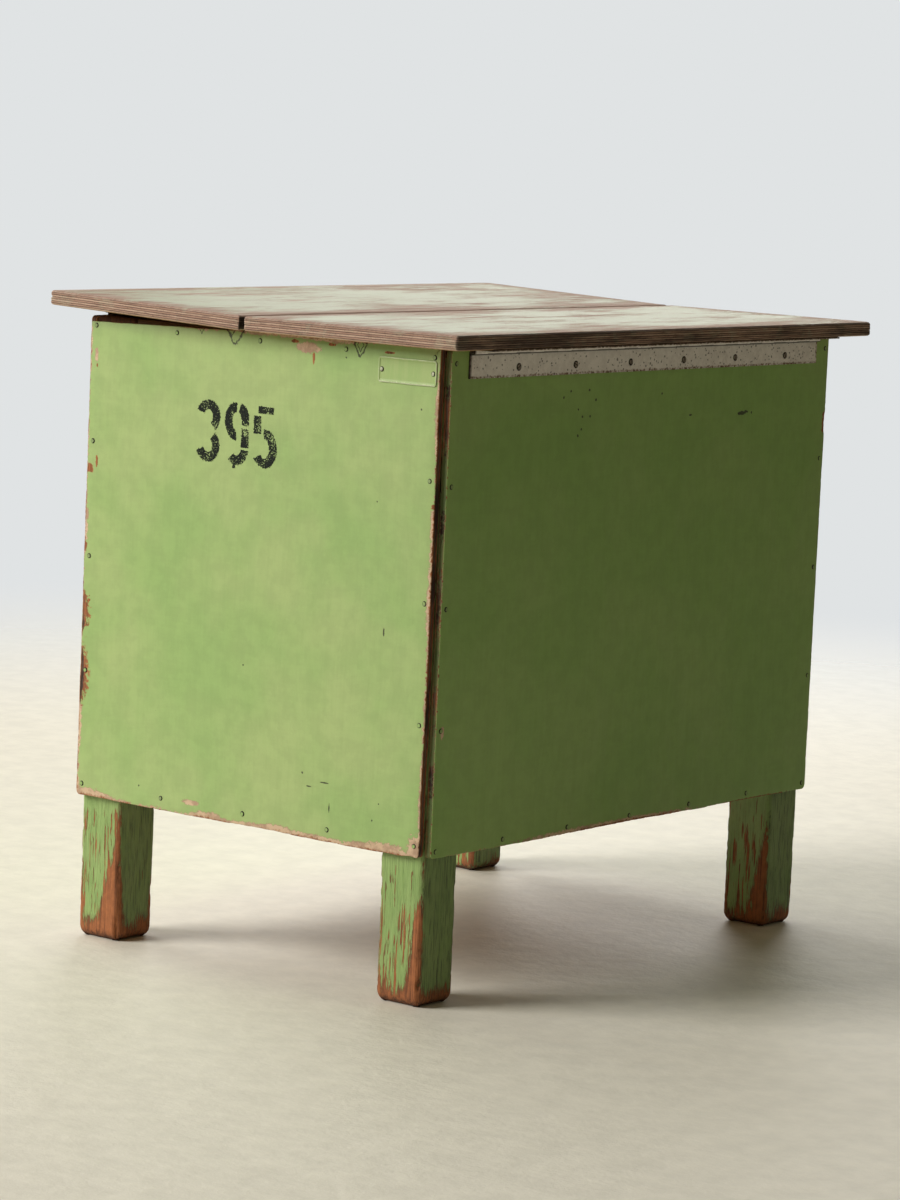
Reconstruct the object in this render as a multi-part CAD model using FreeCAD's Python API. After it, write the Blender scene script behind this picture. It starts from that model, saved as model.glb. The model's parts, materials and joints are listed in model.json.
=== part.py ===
import FreeCAD, Part
import math
import os

# A lidded plywood locker chest on four square posts. Its top is two flaps that meet
# at a seam and swing outwards on long strip hinges, one on each side wall.
# Millimetres. +Z is up, the front looks along -Y, and the origin is on the floor
# under the middle of the top.

os.makedirs("parts", exist_ok=True)
Vector = FreeCAD.Vector
UP = Vector(0, 0, 1)
DEPTH_AXIS = Vector(0, 1, 0)
TOLERANCE = 0.01

# Frame
POST_SIZE = 45.0
POST_HEIGHT = 516.0
POST_EDGE_RADIUS = 2.0
FOOT_RADIUS = 5.0
FRAME_WIDTH = 366.0
FRAME_DEPTH = 524.0
FRAME_CENTRE_Y = -4.0
RAIL_THICKNESS = 20.0
RAIL_HEIGHT = 30.0

# Panels
PANEL_THICKNESS = 6.0
PANEL_BOTTOM = 119.0
PANEL_CORNER_RADIUS = 4.0
FRONT_LEFT_DROP = 4.3
BOTTOM_BOARD_THICKNESS = 6.0
BOARD_CLEARANCE = 0.5

# Top flaps
LID_WIDTH = 427.0
LID_DEPTH = 582.0
LID_THICKNESS = 12.0
LID_GAP = 0.2
SEAM_RIGHT_X = -3.0
SEAM_LEFT_X = -6.5
LEFT_WALL_GAP = 6.2
FRONT_CORNER_RADIUS = 3.0
BACK_CORNER_RADIUS = 10.0
LID_EDGE_RADIUS = 2.0
SEAM_EDGE_RADIUS = 3.0

# Strip hinges
HINGE_LENGTH = 482.0
LEAF_THICKNESS = 1.2
LEAF_REACH = 21.0
KNUCKLE_RADIUS = 2.5
KNUCKLE_COUNT = 27
KNUCKLE_AXIAL_GAP = 0.4
KNUCKLE_CLEARANCE = 0.3
PIN_RADIUS = 1.1
PIN_CLEARANCE = 0.05
PIN_TO_FACE = KNUCKLE_RADIUS + KNUCKLE_CLEARANCE
HINGE_SCREW_COUNT = 6
HINGE_SCREW_PITCH = 74.3
HINGE_SCREW_START = 62.0
HINGE_SCREW_REACH = 13.2

# Fasteners
SCREW_HEAD_RADIUS = 3.2
SCREW_HEAD_PROUD = 0.4
SCREW_SINK = 1.7
SCREW_SHANK_RADIUS = 1.5
WALL_SCREW_LENGTH = 16.0
FLAP_SCREW_LENGTH = 10.0
SLOT_WIDTH = 0.8
SLOT_DEPTH = 0.7
NAIL_HEAD_RADIUS = 2.25
NAIL_HEAD_THICKNESS = 0.7
NAIL_SHANK_RADIUS = 1.0
NAIL_LENGTH = 24.0
NAIL_EDGE = 6.0
NAIL_FROM_BOTTOM = 10.0
NAIL_FROM_TOP = 7.5
NAIL_ROWS = 5
SIDE_NAIL_DROP = 4.0
FRONT_NAIL_COLUMNS = 5
SIDE_NAIL_COLUMNS = 7
BOARD_NAIL_LENGTH = 22.0
HOLE_CLEARANCE = 0.05

# Nameplate
PLATE_WIDTH = 58.0
PLATE_HEIGHT = 20.0
PLATE_THICKNESS = 0.9
PLATE_CENTRE_X = 151.0
PLATE_CENTRE_Z = 496.0
PLATE_CORNER_RADIUS = 2.5
PLATE_RIM = 1.6
PLATE_RECESS = 0.35
PLATE_PIN_SPREAD = 51.0
PLATE_PIN_HEAD_RADIUS = 1.8
PLATE_PIN_HEAD_HEIGHT = 0.9
PLATE_PIN_SHANK_RADIUS = 0.8
PLATE_PIN_LENGTH = 6.0

# Worked out from the above
HALF_WIDTH = FRAME_WIDTH / 2
HALF_DEPTH = FRAME_DEPTH / 2
FRAME_FRONT = FRAME_CENTRE_Y - HALF_DEPTH
FRAME_BACK = FRAME_CENTRE_Y + HALF_DEPTH
WALL_FACE_X = HALF_WIDTH + PANEL_THICKNESS
FRONT_FACE_Y = FRAME_FRONT - PANEL_THICKNESS
LID_UNDERSIDE = POST_HEIGHT + LID_GAP
PIN_X = WALL_FACE_X + PIN_TO_FACE
LEFT_TILT = math.degrees(math.atan(LEFT_WALL_GAP / (WALL_FACE_X + SEAM_LEFT_X)))
KNUCKLE_PITCH = HINGE_LENGTH / KNUCKLE_COUNT
HINGE_START = FRAME_CENTRE_Y - HINGE_LENGTH / 2


def right_pin():
    """Middle of the right hinge's pin."""
    return Vector(PIN_X, FRAME_CENTRE_Y, LID_UNDERSIDE - PIN_TO_FACE)


def left_pin():
    """Middle of the left hinge's pin, which sits above the wall so that the flap slopes."""
    slope = math.radians(LEFT_TILT)
    plane_height = LID_UNDERSIDE + (PIN_X + SEAM_LEFT_X) * math.tan(slope)
    return Vector(-PIN_X, FRAME_CENTRE_Y, plane_height - PIN_TO_FACE / math.cos(slope))


# side name: outward direction, pin, tilt of the closed flap, seam edge, its rounding
SIDES = {
    "right": (1, right_pin(), 0.0, SEAM_RIGHT_X, SEAM_EDGE_RADIUS),
    "left": (-1, left_pin(), LEFT_TILT, SEAM_LEFT_X, LID_EDGE_RADIUS / 2),
}


def save(name, shape):
    """Write one node's solid or group of solids."""
    shape.exportStep(os.path.join("parts", name + ".step"))


def block(low, high):
    """Box between two corners, in any order."""
    start = Vector(min(low[0], high[0]), min(low[1], high[1]), min(low[2], high[2]))
    size = [abs(high[i] - low[i]) for i in range(3)]
    return Part.makeBox(size[0], size[1], size[2], start)


def edges_along(shape, axis):
    """Straight edges that run along one axis."""
    straight = [edge for edge in shape.Edges if isinstance(edge.Curve, Part.Line)]
    return [edge for edge in straight if abs(edge.tangentAt(edge.FirstParameter).dot(axis)) > 1 - TOLERANCE]


def drilled(shape, holes):
    """Take away the holes that reach a shape."""
    reaching = [hole for hole in holes if hole.BoundBox.intersect(shape.BoundBox)]
    return shape.cut(reaching) if reaching else shape


# Fasteners, drawn with the head's seat at the origin and the shank along -Z

def crown_middle(radius, top, edge):
    """Point half way out on a shallow dome, from its top's height to its edge's."""
    return Vector(radius / 2, 0, top - (top - edge) / 4)


def turned(points, crown):
    """Solid turned about Z from (radius, height) points; the first stretch is a dome."""
    spots = [Vector(radius, 0, height) for radius, height in points]
    edges = []
    for index in range(len(spots)):
        start = spots[index]
        end = spots[(index + 1) % len(spots)]
        if index == 0:
            edges.append(Part.Arc(start, crown, end).toShape())
        else:
            edges.append(Part.LineSegment(start, end).toShape())
    return Part.Face(Part.Wire(edges)).revolve(Vector(0, 0, 0), UP, 360)


def screw(length, grow=0.0):
    """Countersunk wood screw, or the hole for it when grown a little."""
    head = SCREW_HEAD_RADIUS + grow
    shank = SCREW_SHANK_RADIUS + grow
    crown = SCREW_HEAD_PROUD + grow
    tip = -length - grow
    points = [(0, crown), (head, 0), (shank, -SCREW_SINK), (shank, tip + shank), (0, tip)]
    body = turned(points, crown_middle(head, crown, 0))
    if grow:
        return body.fuse(Part.makeCylinder(head, crown, Vector(0, 0, 0)))
    reach = SCREW_HEAD_RADIUS
    slot = block((-reach, -SLOT_WIDTH / 2, SCREW_HEAD_PROUD - SLOT_DEPTH), (reach, SLOT_WIDTH / 2, 1))
    return body.cut(slot)


def nail(length):
    """Wire nail with a flat, slightly crowned head."""
    head = NAIL_HEAD_RADIUS
    shank = NAIL_SHANK_RADIUS
    top = NAIL_HEAD_THICKNESS
    points = [(0, top), (head, top / 2), (head, 0), (shank, 0), (shank, -length + 2 * shank), (0, -length)]
    return turned(points, crown_middle(head, top, top / 2))


def shank_hole(shank_radius, length):
    """Hole that the shank of a nail or a pin sits in."""
    radius = shank_radius + HOLE_CLEARANCE
    return Part.makeCylinder(radius, length + HOLE_CLEARANCE, Vector(0, 0, 0), Vector(0, 0, -1))


def plate_pin(length):
    """Round-headed pin of the nameplate."""
    head = PLATE_PIN_HEAD_RADIUS
    shank = PLATE_PIN_SHANK_RADIUS
    top = PLATE_PIN_HEAD_HEIGHT
    points = [(0, top), (head, 0), (shank, 0), (shank, -length), (0, -length)]
    return turned(points, crown_middle(head, top, 0))


def placed(shape, position, outward):
    """Stand a fastener on a face, head outward."""
    copy = shape.copy()
    copy.Placement = FreeCAD.Placement(position, FreeCAD.Rotation(UP, outward))
    return copy


def spread(low, high, count):
    """Evenly spaced numbers, both ends included."""
    return [low + (high - low) * index / (count - 1) for index in range(count)]


# Where the panel nails go

def nail_grid(low, high, columns, drop, top_row):
    """Nail places on a panel as (along, height): both edges, the bottom, and maybe the top."""
    lowest = PANEL_BOTTOM + NAIL_FROM_BOTTOM - drop
    heights = spread(lowest, POST_HEIGHT - NAIL_FROM_TOP - drop, NAIL_ROWS)
    across = spread(low + NAIL_EDGE, high - NAIL_EDGE, columns)
    places = [(edge, height) for edge in (across[0], across[-1]) for height in heights]
    places += [(middle, heights[0]) for middle in across[1:-1]]
    if top_row:
        places += [(middle, heights[-1]) for middle in across[1:-1]]
    return places


def wall_nails(maker):
    """Nails, or their holes, of the four panels; side rows sit lower, to miss the others in the posts."""
    walls = {}
    for name, face_y, outward in (("front", FRONT_FACE_Y, -1), ("back", FRAME_BACK + PANEL_THICKNESS, 1)):
        grid = nail_grid(-HALF_WIDTH, HALF_WIDTH, FRONT_NAIL_COLUMNS, 0, True)
        walls[name] = [placed(maker, Vector(x, face_y, z), Vector(0, outward, 0)) for x, z in grid]
    for name, (outward, _pin, _tilt, _seam, _radius) in SIDES.items():
        grid = nail_grid(FRAME_FRONT, FRAME_BACK, SIDE_NAIL_COLUMNS, SIDE_NAIL_DROP, False)
        face_x = outward * WALL_FACE_X
        walls[name] = [placed(maker, Vector(face_x, y, z), Vector(outward, 0, 0)) for y, z in grid]
    return walls


def board_nail_places():
    """Nails that hold the bottom board down on its rails."""
    inset = RAIL_THICKNESS / 2
    height = PANEL_BOTTOM + RAIL_HEIGHT + BOTTOM_BOARD_THICKNESS
    places = []
    for y in (FRAME_FRONT + inset, FRAME_BACK - inset):
        places += [Vector(x, y, height) for x in (-POST_SIZE, POST_SIZE)]
    for x in (-HALF_WIDTH + inset, HALF_WIDTH - inset):
        places += [Vector(x, FRAME_CENTRE_Y + y, height) for y in (-3 * POST_SIZE, 0, 3 * POST_SIZE)]
    return places


# Frame

def post(side_x, side_y):
    """Corner post, one of four, with worn edges and foot."""
    corner_x = side_x * HALF_WIDTH
    corner_y = FRAME_CENTRE_Y + side_y * HALF_DEPTH
    inner = (corner_x - side_x * POST_SIZE, corner_y - side_y * POST_SIZE, POST_HEIGHT)
    shape = block((corner_x, corner_y, 0), inner)
    shape = shape.makeFillet(POST_EDGE_RADIUS, edges_along(shape, UP))
    foot_edges = [edge for edge in shape.Edges if edge.BoundBox.ZMax < TOLERANCE]
    return shape.makeFillet(FOOT_RADIUS, foot_edges)


def rail_front_back(side_y, bottom):
    """Rail between two posts, behind the front panel or before the back panel."""
    outer = FRAME_CENTRE_Y + side_y * HALF_DEPTH
    reach = HALF_WIDTH - POST_SIZE
    return block((-reach, outer, bottom), (reach, outer - side_y * RAIL_THICKNESS, bottom + RAIL_HEIGHT))


def rail_left_right(side_x, bottom):
    """Rail between two posts along a side wall."""
    outer = side_x * HALF_WIDTH
    low = FRAME_FRONT + POST_SIZE
    high = FRAME_BACK - POST_SIZE
    return block((outer, low, bottom), (outer - side_x * RAIL_THICKNESS, high, bottom + RAIL_HEIGHT))


# Panels

def front_panel():
    """Front panel; its top edge is cut lower over the left half."""
    low = FRONT_FACE_Y
    outline = [
        Vector(-HALF_WIDTH, low, PANEL_BOTTOM),
        Vector(HALF_WIDTH, low, PANEL_BOTTOM),
        Vector(HALF_WIDTH, low, POST_HEIGHT),
        Vector(0, low, POST_HEIGHT),
        Vector(-HALF_WIDTH, low, POST_HEIGHT - FRONT_LEFT_DROP),
    ]
    face = Part.Face(Part.makePolygon(outline + outline[:1]))
    shape = face.extrude(Vector(0, PANEL_THICKNESS, 0))
    bottom = [edge for edge in edges_along(shape, DEPTH_AXIS) if edge.BoundBox.ZMax < PANEL_BOTTOM + 1]
    return shape.makeFillet(PANEL_CORNER_RADIUS, bottom)


def back_panel():
    """Back panel, level at the top."""
    low = (-HALF_WIDTH, FRAME_BACK, PANEL_BOTTOM)
    shape = block(low, (HALF_WIDTH, FRAME_BACK + PANEL_THICKNESS, POST_HEIGHT))
    bottom = [edge for edge in edges_along(shape, DEPTH_AXIS) if edge.BoundBox.ZMax < PANEL_BOTTOM + 1]
    return shape.makeFillet(PANEL_CORNER_RADIUS, bottom)


def side_panel(side_x):
    """Left or right panel, nailed on the outside of its posts, with rounded corners."""
    inner = side_x * HALF_WIDTH
    shape = block((inner, FRAME_FRONT, PANEL_BOTTOM), (side_x * WALL_FACE_X, FRAME_BACK, POST_HEIGHT))
    return shape.makeFillet(PANEL_CORNER_RADIUS, edges_along(shape, Vector(1, 0, 0)))


def bottom_board():
    """Floor of the chest, notched round the posts, lying on the bottom rails."""
    bottom = PANEL_BOTTOM + RAIL_HEIGHT
    reach_x = HALF_WIDTH - BOARD_CLEARANCE
    reach_y = HALF_DEPTH - BOARD_CLEARANCE
    low = (-reach_x, FRAME_CENTRE_Y - reach_y, bottom)
    shape = block(low, (reach_x, FRAME_CENTRE_Y + reach_y, bottom + BOTTOM_BOARD_THICKNESS))
    notch = POST_SIZE + BOARD_CLEARANCE
    notches = []
    for side_x in (-1, 1):
        for side_y in (-1, 1):
            corner = (side_x * HALF_WIDTH, FRAME_CENTRE_Y + side_y * HALF_DEPTH, 0)
            inner = (corner[0] - side_x * notch, corner[1] - side_y * notch, POST_HEIGHT)
            notches.append(block(corner, inner))
    return shape.cut(notches)


# Top flaps and hinges. Each is drawn flat about its pin and then turned by the flap's tilt.

def close_flap(shape, side):
    """Turn a flap piece that is drawn level to where the closed flap lies."""
    _outward, pin, tilt, _seam, _radius = SIDES[side]
    turned_shape = shape.copy()
    turned_shape.rotate(pin, DEPTH_AXIS, tilt)
    return turned_shape


def flap_board(side):
    """One flap of the top, drawn level."""
    outward, pin, _tilt, seam_x, seam_radius = SIDES[side]
    bottom = pin.z + PIN_TO_FACE
    outer_x = outward * LID_WIDTH / 2
    shape = block((seam_x, -LID_DEPTH / 2, bottom), (outer_x, LID_DEPTH / 2, bottom + LID_THICKNESS))
    for side_y, radius in ((-1, FRONT_CORNER_RADIUS), (1, BACK_CORNER_RADIUS)):
        corner = Vector(outer_x, side_y * LID_DEPTH / 2, bottom + LID_THICKNESS / 2)
        picked = [
            edge for edge in edges_along(shape, UP)
            if edge.CenterOfMass.distanceToPoint(corner) < TOLERANCE
        ]
        shape = shape.makeFillet(radius, picked)
    seam = [edge for edge in edges_along(shape, DEPTH_AXIS) if abs(edge.CenterOfMass.x - seam_x) < TOLERANCE]
    shape = shape.makeFillet(seam_radius, seam)
    rim = [edge for edge in shape.Edges if is_outer_rim(edge)]
    return shape.makeFillet(LID_EDGE_RADIUS, rim)


def is_outer_rim(edge):
    """True for the level edges round a flap's three outer sides, which the fillets run along."""
    middle = edge.CenterOfMass
    level = edge.BoundBox.ZLength < TOLERANCE
    rim_inset = BACK_CORNER_RADIUS
    at_front_or_back = abs(middle.y) > LID_DEPTH / 2 - rim_inset
    return level and (at_front_or_back or abs(middle.x) > LID_WIDTH / 2 - rim_inset)


def knuckles(pin, first, radius, length_change=0.0):
    """Every second knuckle of a hinge, from the first or the second."""
    length = KNUCKLE_PITCH + length_change
    solids = []
    for index in range(first, KNUCKLE_COUNT, 2):
        start = HINGE_START + index * KNUCKLE_PITCH - length_change / 2
        solids.append(Part.makeCylinder(radius, length, Vector(pin.x, start, pin.z), DEPTH_AXIS))
    return solids


def hinge_leaf(pin, plate, first):
    """One leaf: its plate, its own knuckles, room for the other leaf's, and the pin's bore."""
    own = knuckles(pin, first, KNUCKLE_RADIUS, -KNUCKLE_AXIAL_GAP)
    room = knuckles(pin, 1 - first, KNUCKLE_RADIUS + KNUCKLE_CLEARANCE)
    bore_start = Vector(pin.x, HINGE_START - 1, pin.z)
    bore = Part.makeCylinder(PIN_RADIUS + PIN_CLEARANCE, HINGE_LENGTH + 2, bore_start, DEPTH_AXIS)
    return plate.cut(room).fuse(own).removeSplitter().cut(bore)


def wall_leaf(side):
    """Leaf that is screwed to the outside of a side wall."""
    outward, pin, _tilt, _seam, _radius = SIDES[side]
    face = outward * WALL_FACE_X
    low = (face, HINGE_START, pin.z - LEAF_REACH)
    plate = block(low, (face + outward * LEAF_THICKNESS, HINGE_START + HINGE_LENGTH, pin.z))
    return hinge_leaf(pin, plate, 0)


def flap_leaf(side):
    """Leaf that is screwed under a flap's overhang, drawn level."""
    outward, pin, _tilt, _seam, _radius = SIDES[side]
    top = pin.z + PIN_TO_FACE
    low = (pin.x, HINGE_START, top - LEAF_THICKNESS)
    plate = block(low, (pin.x + outward * LEAF_REACH, HINGE_START + HINGE_LENGTH, top))
    return hinge_leaf(pin, plate, 1)


def hinge_pin(side):
    """Wire that runs through all the knuckles of a hinge."""
    pin = SIDES[side][1]
    return Part.makeCylinder(PIN_RADIUS, HINGE_LENGTH, Vector(pin.x, HINGE_START, pin.z), DEPTH_AXIS)


def hinge_screw_rows():
    """Places of the screws along a hinge."""
    first = HINGE_START + HINGE_SCREW_START
    return [first + HINGE_SCREW_PITCH * index for index in range(HINGE_SCREW_COUNT)]


def wall_screws(side, maker):
    """Screws, or their holes, through a wall leaf."""
    outward, pin, _tilt, _seam, _radius = SIDES[side]
    x = outward * (WALL_FACE_X + LEAF_THICKNESS)
    z = pin.z - HINGE_SCREW_REACH
    return [placed(maker, Vector(x, y, z), Vector(outward, 0, 0)) for y in hinge_screw_rows()]


def flap_screws(side, maker):
    """Screws, or their holes, up through a flap leaf, drawn level."""
    outward, pin, _tilt, _seam, _radius = SIDES[side]
    x = pin.x + outward * HINGE_SCREW_REACH
    z = pin.z + PIN_TO_FACE - LEAF_THICKNESS
    return [placed(maker, Vector(x, y, z), Vector(0, 0, -1)) for y in hinge_screw_rows()]


# Nameplate

def plate_blank(margin, thickness, depth):
    """Rounded rectangle on the front panel, smaller by a margin, starting at a depth from the face."""
    half_width = PLATE_WIDTH / 2 - margin
    half_height = PLATE_HEIGHT / 2 - margin
    low = (PLATE_CENTRE_X - half_width, FRONT_FACE_Y - depth, PLATE_CENTRE_Z - half_height)
    high = (PLATE_CENTRE_X + half_width, FRONT_FACE_Y - depth - thickness, PLATE_CENTRE_Z + half_height)
    shape = block(low, high)
    return shape.makeFillet(PLATE_CORNER_RADIUS - margin / 2, edges_along(shape, DEPTH_AXIS))


def plate_pins(maker):
    """The nameplate's two pins, or their holes."""
    seat = FRONT_FACE_Y - PLATE_THICKNESS + PLATE_RECESS
    places = [PLATE_CENTRE_X - PLATE_PIN_SPREAD / 2, PLATE_CENTRE_X + PLATE_PIN_SPREAD / 2]
    return [placed(maker, Vector(x, seat, PLATE_CENTRE_Z), Vector(0, -1, 0)) for x in places]


def nameplate():
    """Thin plate with a raised rim and a blank field."""
    blank = plate_blank(0, PLATE_THICKNESS, 0)
    field = plate_blank(PLATE_RIM, PLATE_RECESS, PLATE_THICKNESS - PLATE_RECESS)
    return blank.cut(field)


def main():
    """Build every node and write it."""
    nails = wall_nails(nail(NAIL_LENGTH))
    nail_holes = wall_nails(shank_hole(NAIL_SHANK_RADIUS, NAIL_LENGTH))
    board_nails = [placed(nail(BOARD_NAIL_LENGTH), spot, UP) for spot in board_nail_places()]
    board_hole = shank_hole(NAIL_SHANK_RADIUS, BOARD_NAIL_LENGTH)
    board_holes = [placed(board_hole, spot, UP) for spot in board_nail_places()]
    wall_screw_holes = {side: wall_screws(side, screw(WALL_SCREW_LENGTH, HOLE_CLEARANCE)) for side in SIDES}
    plate_holes = plate_pins(shank_hole(PLATE_PIN_SHANK_RADIUS, PLATE_PIN_LENGTH))

    holes = board_holes + plate_holes
    for group in list(nail_holes.values()) + list(wall_screw_holes.values()):
        holes += group

    frame = {"bottom_board": bottom_board(), "front_panel": front_panel(), "back_panel": back_panel()}
    for name, side_y in (("front", -1), ("back", 1)):
        frame["top_rail_" + name] = rail_front_back(side_y, POST_HEIGHT - RAIL_HEIGHT)
        frame["bottom_rail_" + name] = rail_front_back(side_y, PANEL_BOTTOM)
    for side, (outward, _pin, _tilt, _seam, _radius) in SIDES.items():
        frame[side + "_panel"] = side_panel(outward)
        frame["top_rail_" + side] = rail_left_right(outward, POST_HEIGHT - RAIL_HEIGHT)
        frame["bottom_rail_" + side] = rail_left_right(outward, PANEL_BOTTOM)
        frame["post_front_" + side] = post(outward, -1)
        frame["post_back_" + side] = post(outward, 1)
    for name, shape in frame.items():
        save(name, drilled(shape, holes))

    for name, group in nails.items():
        save(name + "_panel_nails", Part.makeCompound(group))
    save("bottom_board_nails", Part.makeCompound(board_nails))

    for side in SIDES:
        flap_holes = flap_screws(side, screw(FLAP_SCREW_LENGTH, HOLE_CLEARANCE))
        save(side + "_flap", close_flap(flap_board(side).cut(flap_holes), side))
        save(side + "_hinge_wall_leaf", wall_leaf(side).cut(wall_screw_holes[side]))
        save(side + "_hinge_flap_leaf", close_flap(flap_leaf(side).cut(flap_holes), side))
        save(side + "_hinge_pin", hinge_pin(side))
        save(side + "_hinge_wall_screws", Part.makeCompound(wall_screws(side, screw(WALL_SCREW_LENGTH))))
        flap_group = Part.makeCompound(flap_screws(side, screw(FLAP_SCREW_LENGTH)))
        save(side + "_hinge_flap_screws", close_flap(flap_group, side))

    save("nameplate", nameplate().cut(plate_holes))
    save("nameplate_pins", Part.makeCompound(plate_pins(plate_pin(PLATE_PIN_LENGTH))))
    print("pins", right_pin(), left_pin(), "left tilt", round(LEFT_TILT, 3))


main()
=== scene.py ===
"""Looks of a painted plywood locker chest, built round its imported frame.

Lengths are metres in the frame's axes: +Z is up and the front panel looks along -Y.
Wear is laid out in millimetres, because that is how a maker would measure it.
"""

import json
import logging
import math
from dataclasses import dataclass, field
from enum import Enum
from functools import cache
from typing import Any, Callable, Sequence

import bpy
import bmesh
from mathutils import Matrix, Vector, noise


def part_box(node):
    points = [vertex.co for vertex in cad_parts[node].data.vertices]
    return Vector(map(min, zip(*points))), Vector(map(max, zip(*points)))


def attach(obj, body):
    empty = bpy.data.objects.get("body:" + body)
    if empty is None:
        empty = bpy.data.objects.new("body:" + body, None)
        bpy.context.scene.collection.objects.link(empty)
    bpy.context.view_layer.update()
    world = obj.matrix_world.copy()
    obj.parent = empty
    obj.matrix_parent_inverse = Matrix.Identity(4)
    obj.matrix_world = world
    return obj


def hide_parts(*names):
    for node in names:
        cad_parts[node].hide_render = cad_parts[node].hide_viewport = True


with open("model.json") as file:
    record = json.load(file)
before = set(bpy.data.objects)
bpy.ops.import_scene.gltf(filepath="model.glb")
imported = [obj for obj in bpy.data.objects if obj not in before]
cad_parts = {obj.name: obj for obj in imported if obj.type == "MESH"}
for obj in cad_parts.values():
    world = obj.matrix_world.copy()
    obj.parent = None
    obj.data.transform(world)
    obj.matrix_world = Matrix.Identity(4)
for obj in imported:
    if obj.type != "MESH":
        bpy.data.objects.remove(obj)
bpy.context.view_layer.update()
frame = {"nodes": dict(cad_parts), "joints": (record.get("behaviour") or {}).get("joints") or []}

LOG = logging.getLogger("locker_chest")
MM = 0.001
UP = Vector((0, 0, 1))
CHEST = "chest"
BOARD_PLIES = 7

Colour = tuple[float, float, float, float]
Triple = tuple[float, float, float]


def paint_colour(red: int, green: int, blue: int) -> Colour:
    """Turns a colour named in 0 to 255 screen steps into linear light.

    Args:
        red: Red step.
        green: Green step.
        blue: Blue step.

    Returns:
        The linear colour with full alpha.
    """
    steps = [step / 255 for step in (red, green, blue)]
    linear = [s / 12.92 if s <= 0.04045 else ((s + 0.055) / 1.055) ** 2.4 for s in steps]
    return (linear[0], linear[1], linear[2], 1.0)


LEAF_GREEN = paint_colour(154, 184, 110)
YELLOWED_GREEN = paint_colour(170, 190, 122)
# Darker, more saturated green for the right wall: painted shade, not a different paint.
PAINTED_SHADE_GREEN = paint_colour(142, 178, 96)
DEEP_GREEN = paint_colour(126, 158, 86)
UNDERCOAT = paint_colour(214, 184, 152)
RED_TIMBER = paint_colour(182, 112, 66)
DARK_TIMBER = paint_colour(112, 66, 40)
# Near-black for dirt, also used as painted shade in gaps, at seams, on shaded rims and under the lid.
DIRT_AND_SHADE_BLACK = paint_colour(38, 26, 20)
PALE_VENEER = paint_colour(200, 168, 146)
TAN_VENEER = paint_colour(150, 112, 92)
GLUE_LINE = paint_colour(72, 44, 38)
MINT_PAINT = paint_colour(184, 190, 162)
WORN_TOP = paint_colour(186, 158, 140)
PINE = paint_colour(190, 150, 104)
PINE_DARK = paint_colour(140, 98, 62)
# Near-white grey lifted above the steel's own colour: painted light, so that the strip reads bright on the
# shaded wall.
STRIP_PALE_PAINTED_LIGHT = paint_colour(240, 234, 228)
STRIP_RUST = paint_colour(128, 92, 66)
STEEL = paint_colour(120, 112, 102)
INK = paint_colour(6, 8, 13)
# Pale rim colour: worn metal with a painted highlight.
WORN_RIM_AND_HIGHLIGHT = paint_colour(222, 224, 196)
SCREW_GREY = paint_colour(150, 138, 124)
PIN_PALE = paint_colour(206, 212, 178)
FLOOR_CREAM = paint_colour(234, 228, 212)
PALE_SURROUND = paint_colour(224, 227, 228)
WARM_FILL = paint_colour(246, 236, 200)


# Shader and geometry trees

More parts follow.
